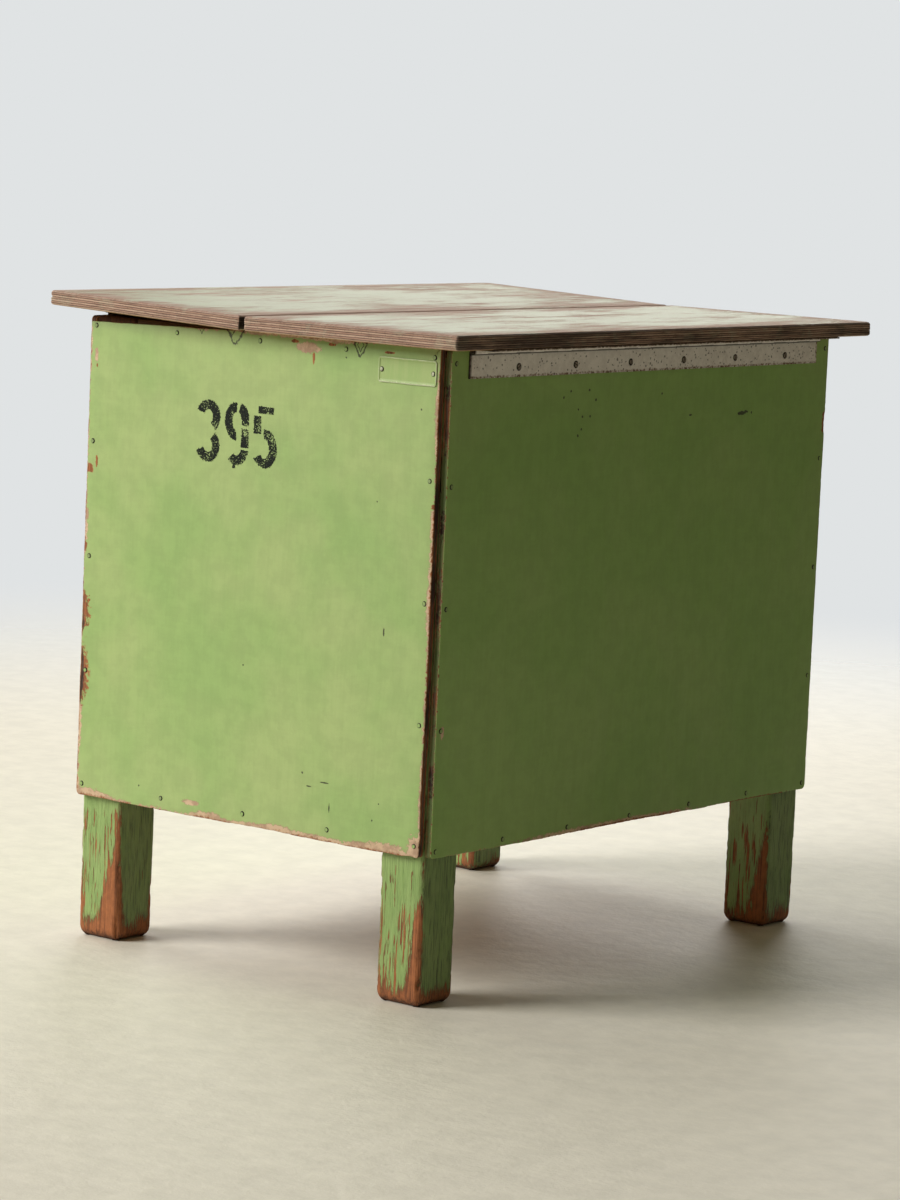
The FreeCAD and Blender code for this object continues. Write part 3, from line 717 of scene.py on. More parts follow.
@dataclass(frozen=True)
class BoardTop(Finish):
    """Thick plywood with pale paint worn thin on top and bare, layered edges.

    Attributes:
        low: Board box in its own level frame, low corner.
        high: Board box in its own level frame, high corner.
        tilt: How far the closed board is turned about the pin, radians.
        pin: The hinge pin's place.
        blackened_side: X direction of the edge that is blackened, or 0.
    """

    low: Triple
    high: Triple
    tilt: float
    pin: Triple
    blackened_side: float = 0.0

    def level(self, graph: Graph, at: bpy.types.NodeSocket) -> bpy.types.NodeSocket:
        """Turns a place back to where it is on the level board."""
        turn = Matrix.Rotation(-self.tilt, 3, "Y")
        shift = Vector(self.pin) - turn @ Vector(self.pin)
        inputs = {"Vector": at, "Location": shift, "Rotation": (0, -self.tilt, 0)}
        return graph.node("ShaderNodeMapping", inputs).outputs[0]

    def inward(self, graph: Graph, x: Any) -> bpy.types.NodeSocket:
        """Distance in from the blackened edge."""
        outer = self.high[0] if self.blackened_side > 0 else self.low[0]
        return graph.unsigned(graph.minus(x, outer))

    def edge(self, graph: Graph, at: Any, dirt: Any) -> tuple[Any, Any, Any]:
        """Colours the veneers and glue lines of the edges.

        Args:
            graph: The material's graph.
            at: The place on the level board.
            dirt: The grime effect's outputs.

        Returns:
            The edge's colour, the mask of its glue lines and a value that changes along it.
        """
        x, y, z = graph.parts(at)
        layers = graph.over(graph.minus(z, self.low[2]), (self.high[2] - self.low[2]) / BOARD_PLIES)
        ply = graph.group(plies(), Across=layers, At=at, Ragged=0.24).outputs
        along = graph.noise(graph.scaled(at, (70, 70, 900)), 1.0, 4.0, 0.65)
        speck = graph.noise(graph.scaled(at, (700, 700, 1400)), 1.0, 2.0)
        edge = graph.mix(graph.times(ply["Layer"], 0.55), PALE_VENEER, TAN_VENEER)
        edge = graph.mix(graph.step(along, 0.48, 0.7, 0.0, 0.45), edge, GLUE_LINE)
        edge = graph.mix(graph.step(speck, 0.55, 0.72, 0.0, 0.4), edge, DIRT_AND_SHADE_BLACK)
        edge = graph.mix(graph.times(ply["Glue"], graph.step(along, 0.3, 0.6, 0.55, 1.0)), edge, GLUE_LINE)
        edge = graph.mix(graph.step(dirt["Mottle"], 0.55, 1.0, 0.0, 0.25), edge, MINT_PAINT)
        # The outer edge is made darker, with black smears that grow towards the back.
        if self.blackened_side:
            inward = self.inward(graph, x)
            smear = graph.noise(graph.scaled(at, (9, 9, 120)), 1.0, 4.0, 0.7)
            behind = graph.step(y, -0.12, 0.12, 0.0, 0.09)
            black = graph.step(graph.plus(smear, behind), 0.40, 0.62, 0.72, 0.12)
            black = graph.times(black, graph.step(inward, 0.0016, 0.0034, 1.0, 0.0))
            edge = graph.mix(black, edge, DIRT_AND_SHADE_BLACK)
            edge = graph.mix(graph.times(ply["Glue"], graph.step(inward, 0.0016, 0.0034, 0.85, 0.0)),
                             edge, DIRT_AND_SHADE_BLACK)

        # The ends that face each other at the seam are painted near black: painted shade in the gap.
        seam = self.low[0] if self.high[0] > -self.low[0] else self.high[0]
        from_seam = graph.unsigned(graph.minus(x, seam))
        edge = graph.mix(graph.step(from_seam, 0.0006, 0.0014, 0.93, 0.0), edge, DIRT_AND_SHADE_BLACK)
        return edge, ply["Glue"], along

    def dress(self, graph: Graph, shader: bpy.types.Node, at: bpy.types.NodeSocket) -> None:
        """Dresses the face and the seven veneers of the edge."""
        at = self.level(graph, at)
        x, _y, z = graph.parts(at)
        tall = graph.minus(z, self.low[2])
        thickness = self.high[2] - self.low[2]
        gap = graph.group(edge_gap(), At=at, Low=self.low, High=self.high).outputs["Gap"]
        grain = graph.group(wood_grain(), At=at, Stretch=(240, 7, 240), Shift=(1, 4, 2)).outputs
        streaks = graph.noise(graph.scaled(at, (330, 21, 330)), 1.0, 6.0, 0.72)
        patches = graph.noise(graph.scaled(at, (34, 7, 34)), 1.0, 3.0, 0.6)
        fine = graph.noise(graph.scaled(at, (900, 60, 900)), 1.0, 3.0, 0.6)
        dirt = graph.group(grime(), At=at, Scale=10.0).outputs

        # Top: paint left in streaks, thinner towards the edges
        thin = graph.step(gap, 0.0, 0.05, 0.17, 0.0)
        score = graph.times_plus(streaks, 0.85, graph.times(patches, 0.8))
        score = graph.plus(graph.times_plus(fine, 0.35, score), thin)
        worn = graph.step(score, 0.98, 1.16, 0.06, 0.95)
        face_wood = graph.mix(graph.step(grain["Tone"], 0.32, 0.75), WORN_TOP, TAN_VENEER)
        face = graph.mix(worn, MINT_PAINT, face_wood)
        face = graph.mix(graph.step(fine, 0.62, 0.75, 0.0, 0.3), face, GLUE_LINE)

        edge, glue, along = self.edge(graph, at, dirt)
        on_top = graph.step(graph.times_plus(fine, 0.0006, tall), thickness - 0.0012, thickness - 0.0003)
        under = graph.step(tall, 0.0002, 0.0009, 1.0, 0.0)
        lower_face = graph.mix(graph.step(grain["Tone"], 0.3, 0.75), PINE, PINE_DARK)
        colour = graph.mix(on_top, edge, face)
        colour = graph.mix(under, colour, lower_face)
        rim = graph.times(on_top, graph.step(gap, 0.0004, 0.0042, 0.75, 0.0))
        colour = graph.mix(rim, colour, TAN_VENEER)
        # A dark band on the top along that edge.
        if self.blackened_side:
            inward = graph.times_plus(fine, 0.002, self.inward(graph, x))
            lip = graph.times(on_top, graph.step(inward, 0.0022, 0.0042, 0.8, 0.0))
            colour = graph.mix(lip, colour, DIRT_AND_SHADE_BLACK)
        graph.feed(shader.inputs["Base Color"], colour)

        rough = graph.step(worn, 0.0, 1.0, 0.5, 0.72)
        rough = graph.largest(rough, graph.step(on_top, 0, 1, 0.85, 0.3))
        graph.feed(shader.inputs["Roughness"], rough)
        relief = graph.times(graph.minus(1.0, worn), 0.1)
        relief = graph.times_plus(grain["Height"], 0.14, relief)
        relief = graph.times_plus(fine, 0.08, relief)
        side = graph.minus(1.0, on_top)
        relief = graph.times_plus(graph.times(glue, side), -0.25, relief)
        relief = graph.times_plus(graph.times(along, side), 0.4, relief)
        self.bump(graph, shader, relief)


@dataclass(frozen=True)
class BareTimber(Finish):
    """Bare sawn timber, darkened with age, and on the top rails darkened further as painted shade under the
    lid.

    Attributes:
        stretch: Pattern scale by axis, small along the grain.
        shift: Moves the pattern.
        dirt_and_shade: Share of darkening on it: old dirt, and on the top rails painted shade under the lid.
    """

    stretch: Triple
    shift: Triple = (0, 0, 0)
    dirt_and_shade: float = 0.0

    def dress(self, graph: Graph, shader: bpy.types.Node, at: bpy.types.NodeSocket) -> None:
        """Dresses the timber with grain, dirt and, on the top rails, painted shade."""
        grain = graph.group(wood_grain(), At=at, Stretch=self.stretch, Shift=self.shift).outputs
        dirt = graph.group(grime(), At=at, Scale=12.0).outputs
        colour = graph.mix(graph.step(grain["Tone"], 0.3, 0.78), PINE, PINE_DARK)
        colour = graph.mix(graph.times(dirt["Blotch"], 0.35), colour, DARK_TIMBER)
        # Darkening: dirt, and on the top rails painted shade.
        dark = graph.step(dirt["Mottle"], 0.0, 1.0, self.dirt_and_shade, self.dirt_and_shade + 0.12)
        colour = graph.mix(dark, colour, DIRT_AND_SHADE_BLACK)
        graph.feed(shader.inputs["Base Color"], colour)
        graph.feed(shader.inputs["Roughness"], graph.step(grain["Tone"], 0.3, 0.7, 0.72, 0.86))
        self.bump(graph, shader, graph.times(grain["Height"], 0.2))


@dataclass(frozen=True)
class StripSteel(Finish):
    """Old painted steel strip, speckled and rusty towards its edges, its pale colour lifted as painted
    light.

    Attributes:
        low: Leaf box, low corner.
        high: Leaf box, high corner.
        fold: How far below its top the dark line along the knuckles lies.
        rust: Share of rust, 0 to 1.
    """

    low: Triple
    high: Triple
    fold: float = 0.0048
    rust: float = 0.3

    def dress(self, graph: Graph, shader: bpy.types.Node, at: bpy.types.NodeSocket) -> None:
        """Dresses the steel with specks, scratches and rust."""
        gap = graph.group(edge_gap(), At=at, Low=self.low, High=self.high).outputs["Gap"]
        dirt = graph.group(grime(), At=at, Scale=22.0).outputs
        fine = graph.noise(at, 380.0, 4.0, 0.7)
        pits = graph.group(speckle(), At=at, Scale=330.0, Share=0.3, Size=0.3).outputs["Mask"]
        drops = graph.group(speckle(), At=at, Scale=120.0, Share=0.18, Size=0.16).outputs["Mask"]
        ragged = graph.times_plus(graph.minus(fine, 0.5), 0.006, gap)
        rusty = graph.step(ragged, 0.0004, 0.0022, 0.95, 0.0)
        blotch = graph.times(dirt["Blotch"], graph.step(fine, 0.45, 0.6))
        rusty = graph.largest(rusty, graph.times(blotch, 0.5 * self.rust))
        _across, along, tall = graph.parts(at)
        # Darker front end: dirt and painted shadow.
        front_end_dirt_and_shadow = graph.step(along, self.low[1], self.low[1] + 0.0035, 0.85, 0.0)
        colour = graph.mix(graph.step(dirt["Mottle"], 0.0, 1.0, 0.0, 0.14), STRIP_PALE_PAINTED_LIGHT, STEEL)
        colour = graph.mix(rusty, colour, STRIP_RUST)
        # Dark outline along the edges: dirt and painted shadow.
        colour = graph.mix(graph.step(ragged, 0.0, 0.0011, 0.8, 0.0), colour, DIRT_AND_SHADE_BLACK)
        from_fold = graph.minus(graph.minus(self.high[2], tall), self.fold)
        shadow = graph.step(graph.unsigned(from_fold), 0.0004, 0.0009, 0.9, 0.0)
        colour = graph.mix(shadow, colour, DIRT_AND_SHADE_BLACK)
        colour = graph.mix(front_end_dirt_and_shadow, colour, DIRT_AND_SHADE_BLACK)
        colour = graph.mix(graph.times(graph.largest(pits, drops), 0.75), colour, DIRT_AND_SHADE_BLACK)
        graph.feed(shader.inputs["Base Color"], colour)
        graph.feed(shader.inputs["Roughness"], graph.step(rusty, 0.0, 1.0, 0.5, 0.85))
        graph.feed(shader.inputs["Metallic"], graph.step(rusty, 0.0, 0.6, 0.06, 0.0))
        relief = graph.times_plus(fine, 0.16, graph.times(rusty, 0.12))
        self.bump(graph, shader, graph.times_plus(pits, -0.08, relief))


@dataclass(frozen=True)
class HeadFinish(Finish):
    """Nail, screw or pin heads; a dark ring lies where each meets the surface.

    Attributes:
        middle: Colour of the head's middle.
        ring: Colour of the ring round it.
        metal: How metallic the head is.
    """

    middle: Colour
    ring: Colour
    metal: float = 0.0

    def dress(self, graph: Graph, shader: bpy.types.Node, at: bpy.types.NodeSocket) -> None:
        """Dresses the heads by the distance from their middles."""
        out = graph.node("ShaderNodeAttribute", attribute_name="out_from_middle").outputs["Fac"]
        fine = graph.noise(at, 900.0, 3.0, 0.65)
        edge = graph.times_plus(graph.minus(fine, 0.5), 0.7, out)
        worn = graph.step(graph.noise(at, 60.0, 1.0), 0.46, 0.58, 0.0, 0.4)
        colour = graph.mix(worn, self.middle, STEEL)
        colour = graph.mix(graph.step(edge, 0.58, 0.8), colour, self.ring)
        graph.feed(shader.inputs["Base Color"], colour)
        graph.feed(shader.inputs["Roughness"], graph.step(fine, 0.3, 0.7, 0.42, 0.7))
        shader.inputs["Metallic"].default_value = self.metal
        self.bump(graph, shader, graph.times(fine, 0.12))


@dataclass(frozen=True)
class PlatePaint(Finish):
    """Thick paint over a small metal plate; its lower and right rim is worn bright and carries a painted
    highlight, and a painted shadow darkens it where it meets the wall.

    Attributes:
        low: Plate box, low corner.
        high: Plate box, high corner.
    """

    low: Triple
    high: Triple

    def dress(self, graph: Graph, shader: bpy.types.Node, at: bpy.types.NodeSocket) -> None:
        """Dresses the plate with brush marks and a bright rim."""
        gap = graph.group(edge_gap(), At=at, Low=self.low, High=self.high).outputs["Gap"]
        brush = graph.group(brush_marks(), At=at, Stretch=(170, 170, 16)).outputs
        ragged = graph.minus(graph.noise(at, 340.0, 3.0, 0.6), 0.5)
        rim = graph.step(graph.times_plus(ragged, 0.0022, gap), 0.0004, 0.0014, 1.0, 0.0)
        along, front, tall = graph.parts(at)
        proud = graph.step(front, self.low[1] + 0.0001, self.low[1] + 0.0003, 1.0, 0.0)
        lower = graph.step(tall, self.low[2] + 0.001, self.low[2] + 0.004, 1.0, 0.45)
        right = graph.step(along, self.high[0] - 0.004, self.high[0] - 0.001, 0.45, 1.0)
        # Lower and right rim, worn bright and lightened as a painted highlight.
        worn_and_highlit = graph.times(graph.times(rim, proud), graph.math("MAXIMUM", lower, right))
        green = graph.mix(graph.step(brush["Tone"], 0.4, 0.6, 0.4, 0.9), LEAF_GREEN, YELLOWED_GREEN)
        colour = graph.mix(graph.times(worn_and_highlit, 0.8), green, WORN_RIM_AND_HIGHLIGHT)
        # Darker where the plate sits on the wall: painted shadow.
        seat = graph.step(front, self.high[1] - 0.0003, self.high[1], 0.0, 0.8)
        colour = graph.mix(seat, colour, DIRT_AND_SHADE_BLACK)
        graph.feed(shader.inputs["Base Color"], colour)
        graph.feed(shader.inputs["Roughness"], graph.step(worn_and_highlit, 0.0, 1.0, 0.46, 0.3))
        graph.feed(shader.inputs["Metallic"], graph.times(worn_and_highlit, 0.3))
        self.bump(graph, shader, graph.times(brush["Height"], 0.08))


@dataclass(frozen=True)
class StencilInk(Finish):
    """Black stencil paint, dabbed on unevenly."""

    def dress(self, graph: Graph, shader: bpy.types.Node, at: bpy.types.NodeSocket) -> None:
        """Lets the paint below show in specks and at soft borders."""
        core = graph.node("ShaderNodeAttribute", attribute_name="core").outputs["Fac"]
        dabs = graph.noise(at, 760.0, 3.0, 0.72)
        load = graph.noise(at, 70.0, 1.0)
        cover = graph.times_plus(load, 0.5, dabs)
        cover = graph.times_plus(core, 0.36, cover)
        graph.feed(shader.inputs["Alpha"], graph.step(cover, 0.99, 1.04))
        colour = graph.mix(graph.step(dabs, 0.4, 0.7, 0.0, 0.08), INK, DEEP_GREEN)
        graph.feed(shader.inputs["Base Color"], colour)
        shader.inputs["Roughness"].default_value = 0.62
        shader.inputs["Specular IOR Level"].default_value = 0.2


@dataclass(frozen=True)
class PaleFloor(Finish):
    """Plain pale floor that fades out with distance.

    Attributes:
        near: Radius up to which the floor is solid.
        far: Radius at which it is gone.
    """

    near: float
    far: float

    def dress(self, graph: Graph, shader: bpy.types.Node, at: bpy.types.NodeSocket) -> None:
        """Dresses the floor with a faint mottle."""
        mottle = graph.noise(at, 34.0, 5.0, 0.65)
        colour = graph.shade(FLOOR_CREAM, graph.step(mottle, 0.25, 0.75, 0.93, 1.04))
        graph.feed(shader.inputs["Base Color"], colour)
        shader.inputs["Roughness"].default_value = 0.6
        away = graph.length(at)
        graph.feed(shader.inputs["Alpha"], graph.step(away, self.near, self.far, 1.0, 0.0))
        self.bump(graph, shader, graph.times(mottle, 1.2))


# Meshes

@dataclass(frozen=True)
class Station:
    """A point of an outline.

    Attributes:
        place: The point.
        outward: Direction out of the outline there.
    """

    place: Vector
    outward: Vector


def rounded_outline(low: Vector, high: Vector, radii: Sequence[float], step: float) -> list[Station]:
    """Walks round a rectangle with rounded corners, anticlockwise.

    Args:
        low: Low corner.
        high: High corner.
        radii: Corner radii, from the low corner on.
        step: Greatest distance between points.

    Returns:
        The outline's stations.
    """
    corners = [Vector(at) for at in ((low.x, low.y), (high.x, low.y), (high.x, high.y), (low.x, high.y))]
    middle = (corners[0] + corners[2]) / 2
    stations = []
    for index, (corner, radius) in enumerate(zip(corners, radii)):
        inward = Vector((math.copysign(1, middle.x - corner.x), math.copysign(1, middle.y - corner.y)))
        centre = corner + inward * radius
        bends = max(3, round(radius * math.pi / 2 / step))
        for bend in range(bends + 1):
            angle = math.radians(180 + 90 * index + 90 * bend / bends)
            outward = Vector((math.cos(angle), math.sin(angle)))
            stations.append(Station(centre + outward * radius, outward))
        following = corners[(index + 1) % 4]
        run = (following - corner).normalized()
        start, end = corner + run * radius, following - run * radii[(index + 1) % 4]
        count = max(1, round((end - start).length / step))
        outward = Vector((run.y, -run.x))
        stations += [Station(start.lerp(end, part / count), outward) for part in range(1, count)]
    return stations


@dataclass
class Slab:
    """A solid with one outline all through, made of rings from one cap to the other.

    Attributes:
        name: The piece's name.
        low: Outline rectangle, low corner.
        high: Outline rectangle, high corner.
        radii: Its corner radii.
        step: Distance between the outline's points.
        sections: (height, inset) of each ring, in order.
        wear: Extra inset at (station, height).
        place: Turns (along, up, height) into the frame's place.
        cap_support: How far in the rings lie that keep the caps flat.
    """

    name: str
    low: Vector
    high: Vector
    radii: Sequence[float]
    step: float
    sections: Sequence[tuple[float, float]]
    wear: Callable[[Station, float], float]
    place: Callable[[float, float, float], Vector]
    cap_support: float = 0.009

    def ring(self, stations: list[Station], height: float, inset: float) -> list[Vector]:
        """Places one ring of points."""
        points = []
        for station in stations:
            point = station.place - station.outward * (inset + self.wear(station, height))
            points.append(self.place(point.x, point.y, height))
        return points

    def support(self, stations: list[Station], height: float) -> list[Vector]:
        """Places a ring well inside a cap."""
        low = self.low + Vector((self.cap_support, self.cap_support))
        high = self.high - Vector((self.cap_support, self.cap_support))
        points = []
        for station in stations:
            along = min(max(station.place.x, low.x), high.x)
            up = min(max(station.place.y, low.y), high.y)
            points.append(self.place(along, up, height))
        return points

    def build(self) -> bpy.types.Object:
        """Makes the piece's object."""
        stations = rounded_outline(self.low, self.high, self.radii, self.step)
        rings = [self.support(stations, self.sections[0][0])]
        rings += [self.ring(stations, height, inset) for height, inset in self.sections]
        rings.append(self.support(stations, self.sections[-1][0]))
        work = bmesh.new()
        loops = [[work.verts.new(point) for point in ring] for ring in rings]
        for below, above in zip(loops, loops[1:]):
            for index in range(len(stations)):
                after = (index + 1) % len(stations)
                face = work.faces.new((below[index], below[after], above[after], above[index]))
                face.smooth = True
        for cap in (loops[0], loops[-1]):
            work.faces.new(cap)
        bmesh.ops.remove_doubles(work, verts=work.verts, dist=1e-6)
        bmesh.ops.recalc_face_normals(work, faces=work.faces)
        return finish_mesh(work, self.name)


def finish_mesh(work: bmesh.types.BMesh, name: str) -> bpy.types.Object:
    """Turns mesh work into an object at the origin."""
    mesh = bpy.data.meshes.new(name)
    work.to_mesh(mesh)
    work.free()
    made = bpy.data.objects.new(name, mesh)
    bpy.context.scene.collection.objects.link(made)
    return made


def roughly(at: Vector, scale: float, octaves: int = 3) -> float:
    """Smooth chance value, about -1 to 1, that changes over a distance in metres."""
    return noise.fractal(at / scale, 0.8, 2.1, octaves)


def islands(node: str) -> list[tuple[Vector, Vector]]:
    """Finds the separate solids of a CAD node.

    Args:
        node: The node's name.

    Returns:
        The low and high corner of each solid, in a fixed order.
    """
    work = bmesh.new()
    work.from_mesh(frame["nodes"][node].data)
    bmesh.ops.remove_doubles(work, verts=work.verts, dist=1e-6)
    left = set(work.verts)
    boxes = []
    while left:
        group, edge = set(), [left.pop()]
        while edge:
            vertex = edge.pop()
            group.add(vertex)
            for link in vertex.link_edges:
                other = link.other_vert(vertex)
                if other in left:
                    left.discard(other)
                    edge.append(other)
        spots = [vertex.co for vertex in group]
        low = Vector([min(spot[axis] for spot in spots) for axis in range(3)])
        high = Vector([max(spot[axis] for spot in spots) for axis in range(3)])
        boxes.append((low, high))
    work.free()
    return sorted(boxes, key=lambda box: tuple(round(part, 5) for part in box[0]))


def settle(piece: bpy.types.Object, body: str, slot: str, *nodes: str) -> None:
    """Lets a piece ride on its body and stand for its CAD nodes."""
    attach(piece, body)
    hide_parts(*nodes)
    LOG.info("%s: %d faces on %s", piece.name, len(piece.data.polygons), body)


def repaint(node: str, finish: Finish) -> None:
    """Gives a CAD node that keeps its shape a full material."""
    materials = frame["nodes"][node].data.materials
    material = finish.make()
    if materials:
        for index in range(len(materials)):
            materials[index] = material
    else:
        materials.append(material)
    LOG.info("%s: finished as %s", node, finish.name)


# Fasteners

class Head(Enum):
    """Shapes of fastener head."""

    NAIL = "nail"
    SCREW = "screw"
    PIN = "pin"


@dataclass(frozen=True)
class HeadMake:
    """Sizes and slot of one kind of head.

    Attributes:
        radius: Head radius.
        height: Head height above the face.
        slot: Name of its slot.
    """

    radius: float
    height: float
    slot: str


HEAD_MAKES = {
    Head.NAIL: HeadMake(0.00225, 0.0007, "nail_steel"),
    Head.SCREW: HeadMake(0.0032, 0.0004, "screw_steel"),
    Head.PIN: HeadMake(0.0022, 0.0009, "plate_pin_paint"),
}


def head_shape(graph: Graph, head: Head, radius: Any, height: Any) -> bpy.types.NodeSocket:
    """Adds the nodes that shape one head, looking up from its own middle.

    Args:
        graph: The geometry tree's graph.
        head: The kind of head.
        radius: Head radius.
        height: Head height.

    Returns:
        The head's geometry.
    """
    if head is Head.NAIL:
        top = graph.times(radius, 0.74)
        inputs = {"Vertices": 14, "Radius Top": top, "Radius Bottom": radius, "Depth": height}
        return graph.node("GeometryNodeMeshCone", inputs, fill_type="TRIANGLE_FAN").outputs[0]
    inputs = {"Segments": 20, "Rings": 10, "Radius": radius}
    ball = graph.node("GeometryNodeMeshUVSphere", inputs).outputs[0]
    flat = graph.node("ShaderNodeCombineXYZ", {0: 1.0, 1: 1.0, 2: graph.over(height, radius)}).outputs[0]
    dome = graph.node("GeometryNodeTransform", {"Geometry": ball, "Scale": flat}).outputs[0]
    if head is Head.PIN:
        return dome
    sides = {0: graph.times(radius, 2.4), 1: graph.times(radius, 0.27), 2: graph.times(height, 2.0)}
    size = graph.node("ShaderNodeCombineXYZ", sides).outputs[0]
    lift = graph.node("ShaderNodeCombineXYZ", {2: graph.times(height, 0.9)}).outputs[0]
    blade = graph.node("GeometryNodeMeshCube", {"Size": size}).outputs[0]
    blade = graph.node("GeometryNodeTransform", {"Geometry": blade, "Translation": lift}).outputs[0]
    return graph.node("GeometryNodeMeshBoolean", {0: dome, 1: blade}, operation="DIFFERENCE").outputs[0]


def head_tree(head: Head) -> bpy.types.NodeTree:
    """Builds the tree that sets one kind of head on every point.

    Args:
        head: The kind of head.

    Returns:
        A geometry tree with the inputs Radius, Height, Facing, Seed and Material.
    """
    tree = bpy.data.node_groups.new(head.value + " heads", "GeometryNodeTree")
    sockets = {"Geometry": "Geometry", "Radius": "Float", "Height": "Float", "Facing": "Vector",
               "Seed": "Int", "Material": "Material"}
    for label, kind in sockets.items():
        tree.interface.new_socket(label, in_out="INPUT", socket_type="NodeSocket" + kind)
    tree.interface.new_socket("Geometry", in_out="OUTPUT", socket_type="NodeSocketGeometry")
    graph = Graph(tree)
    given = graph.node("NodeGroupInput").outputs
    shape = head_shape(graph, head, given["Radius"], given["Height"])

    # Each point of a head keeps how far out it lies, for its finish
    place = graph.node("GeometryNodeInputPosition").outputs[0]
    away = graph.length(graph.vector("MULTIPLY", place, (1, 1, 0)).outputs[0])
    inputs = {"Geometry": shape, "Name": "out_from_middle", "Value": graph.over(away, given["Radius"])}
    marked = graph.node("GeometryNodeStoreNamedAttribute", inputs, data_type="FLOAT", domain="POINT")

    # Heads differ a little in size, and each is turned its own way
    seed = given["Seed"]
    inputs = {2: 0.88, 3: 1.0, "Seed": seed}
    size = graph.node("FunctionNodeRandomValue", inputs, data_type="FLOAT").outputs[1]
    spots = graph.node("GeometryNodeMeshToPoints", {"Mesh": given["Geometry"]}).outputs[0]
    inputs = {"Points": spots, "Instance": marked.outputs[0], "Rotation": given["Facing"], "Scale": size}
    heads = graph.node("GeometryNodeInstanceOnPoints", inputs).outputs[0]
    inputs = {0: (-0.03, -0.03, -1.3), 1: (0.03, 0.03, 1.3), "Seed": seed}
    turn = graph.node("FunctionNodeRandomValue", inputs, data_type="FLOAT_VECTOR").outputs[0]
    turned = graph.node("GeometryNodeRotateInstances", {"Instances": heads, "Rotation": turn}).outputs[0]
    real = graph.node("GeometryNodeRealizeInstances", {"Geometry": turned}).outputs[0]
    inputs = {"Geometry": real, "Material": given["Material"]}
    painted = graph.node("GeometryNodeSetMaterial", inputs).outputs[0]
    graph.node("NodeGroupOutput", {"Geometry": painted})
    return tree


@dataclass
class Fasteners:
    """Identical heads on one face, in place of a CAD node.

    Attributes:
        node: The CAD node.
        head: Kind of head.
        facing: Direction that the heads look in.
        body: The body that carries them.
        finish: Their finish.
        seed: Picks their sizes and turns.
    """

    node: str
    head: Head
    facing: Vector
    body: str
    finish: Finish
    seed: int

    def seats(self) -> list[Vector]:
        """Finds where each head sits, from the CAD solids."""
        found = []
        for low, high in islands(self.node):
            middle = (low + high) / 2
            reach = max((Vector(corner) - middle).dot(self.facing) for corner in box_corners(low, high))
            found.append(middle + self.facing * (reach - HEAD_MAKES[self.head].height))
        return found

    def build(self) -> None:
        """Makes the heads and settles them on their body."""
        mesh = bpy.data.meshes.new(self.node + "_seats")
        mesh.from_pydata(self.seats(), [], [])
        piece = bpy.data.objects.new(self.node + "_heads", mesh)
        bpy.context.scene.collection.objects.link(piece)
        tree = head_tree(self.head)
        modifier = piece.modifiers.new("heads", "NODES")
        modifier.node_group = tree
        make = HEAD_MAKES[self.head]
        material = self.finish.make()
        values = {"Radius": make.radius, "Height": make.height, "Seed": self.seed, "Material": material,
                  "Facing": tuple(UP.rotation_difference(self.facing).to_euler())}
        for socket in tree.interface.items_tree:
            if socket.in_out == "INPUT" and socket.name in values:
                modifier[socket.identifier] = values[socket.name]
        evaluated = piece.evaluated_get(bpy.context.evaluated_depsgraph_get())
        piece.data = bpy.data.meshes.new_from_object(evaluated)
        piece.data.materials.clear()
        piece.data.materials.append(material)
        piece.modifiers.remove(modifier)
        bpy.data.meshes.remove(mesh)
        settle(piece, self.body, make.slot, self.node)


def box_corners(low: Vector, high: Vector) -> list[Triple]:
    """Lists the eight corners of a box."""
    return [(x, y, z) for x in (low.x, high.x) for y in (low.y, high.y) for z in (low.z, high.z)]


# Sub-assemblies

@dataclass
class Post:
    """One corner post, with a worn foot and uneven faces.

    Attributes:
        node: The CAD node.
        wear: How much paint is gone.
        seed: Moves its pattern and its dents.
        edge_radius: Rounding of its long edges.
        foot_round: Rounding of its foot.
        leg_top: Height up to which it is handled and kicked as a leg.
    """

    node: str
    wear: float
    seed: float
    edge_radius: float = 0.0045
    foot_round: float = 0.0085
    leg_top: float = 0.125

    def inset(self, station: Station, height: float) -> float:
        """How far the face is worn in at a station and height."""
        at = Vector((station.place.x, station.place.y, height * 0.25)) + Vector((self.seed, 0, 0))
        spot = Vector((station.place.x, station.place.y, height)) + Vector((self.seed, 0, 0))
        grooves = abs(roughly(at, 0.0042, 2)) * 0.00022
        waves = (1 + roughly(spot, 0.045, 2)) * 0.00042
        corner = max(0.0, min(abs(station.outward.x), abs(station.outward.y)) * 1.42)
        dents = max(0.0, roughly(spot, 0.011, 3) - 0.02) * 0.0030 * corner
        low_down = max(0.0, 1 - height / self.leg_top)
        return grooves + waves + dents + 0.0007 * low_down * corner

    def sections(self, top: float) -> list[tuple[float, float]]:
        """Rings from the rounded foot to the top."""
        foot = []
        for part in range(7):
            angle = math.pi / 2 * part / 6
            foot.append((self.foot_round * (1 - math.sin(angle)), self.foot_round * (1 - math.cos(angle))))
        rows: list[tuple[float, float]] = []
        leg = self.foot_round
        while leg < self.leg_top:
            leg += 0.0024
            rows.append((leg, 0.0))
        while leg < top - 0.03:
            leg += 0.02
            rows.append((leg, 0.0))
        return foot[::-1] + rows + [(top - 0.001, 0.0), (top, 0.001)]

    def build(self) -> None:
        """Makes the post and settles it."""
        low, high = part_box(self.node)
        slab = Slab(self.node + "_timber", low.xy, high.xy, [self.edge_radius] * 4, 0.0016,
                    self.sections(high.z), self.inset, lambda x, y, z: Vector((x, y, z)), 0.014)
        piece = slab.build()
        shift = (self.seed, 2 * self.seed, 0)
        finish = PostPaint(self.node + " paint", tuple(low), tuple(high), self.wear, shift)
        piece.data.materials.append(finish.make())
        settle(piece, CHEST, "green_post", self.node)


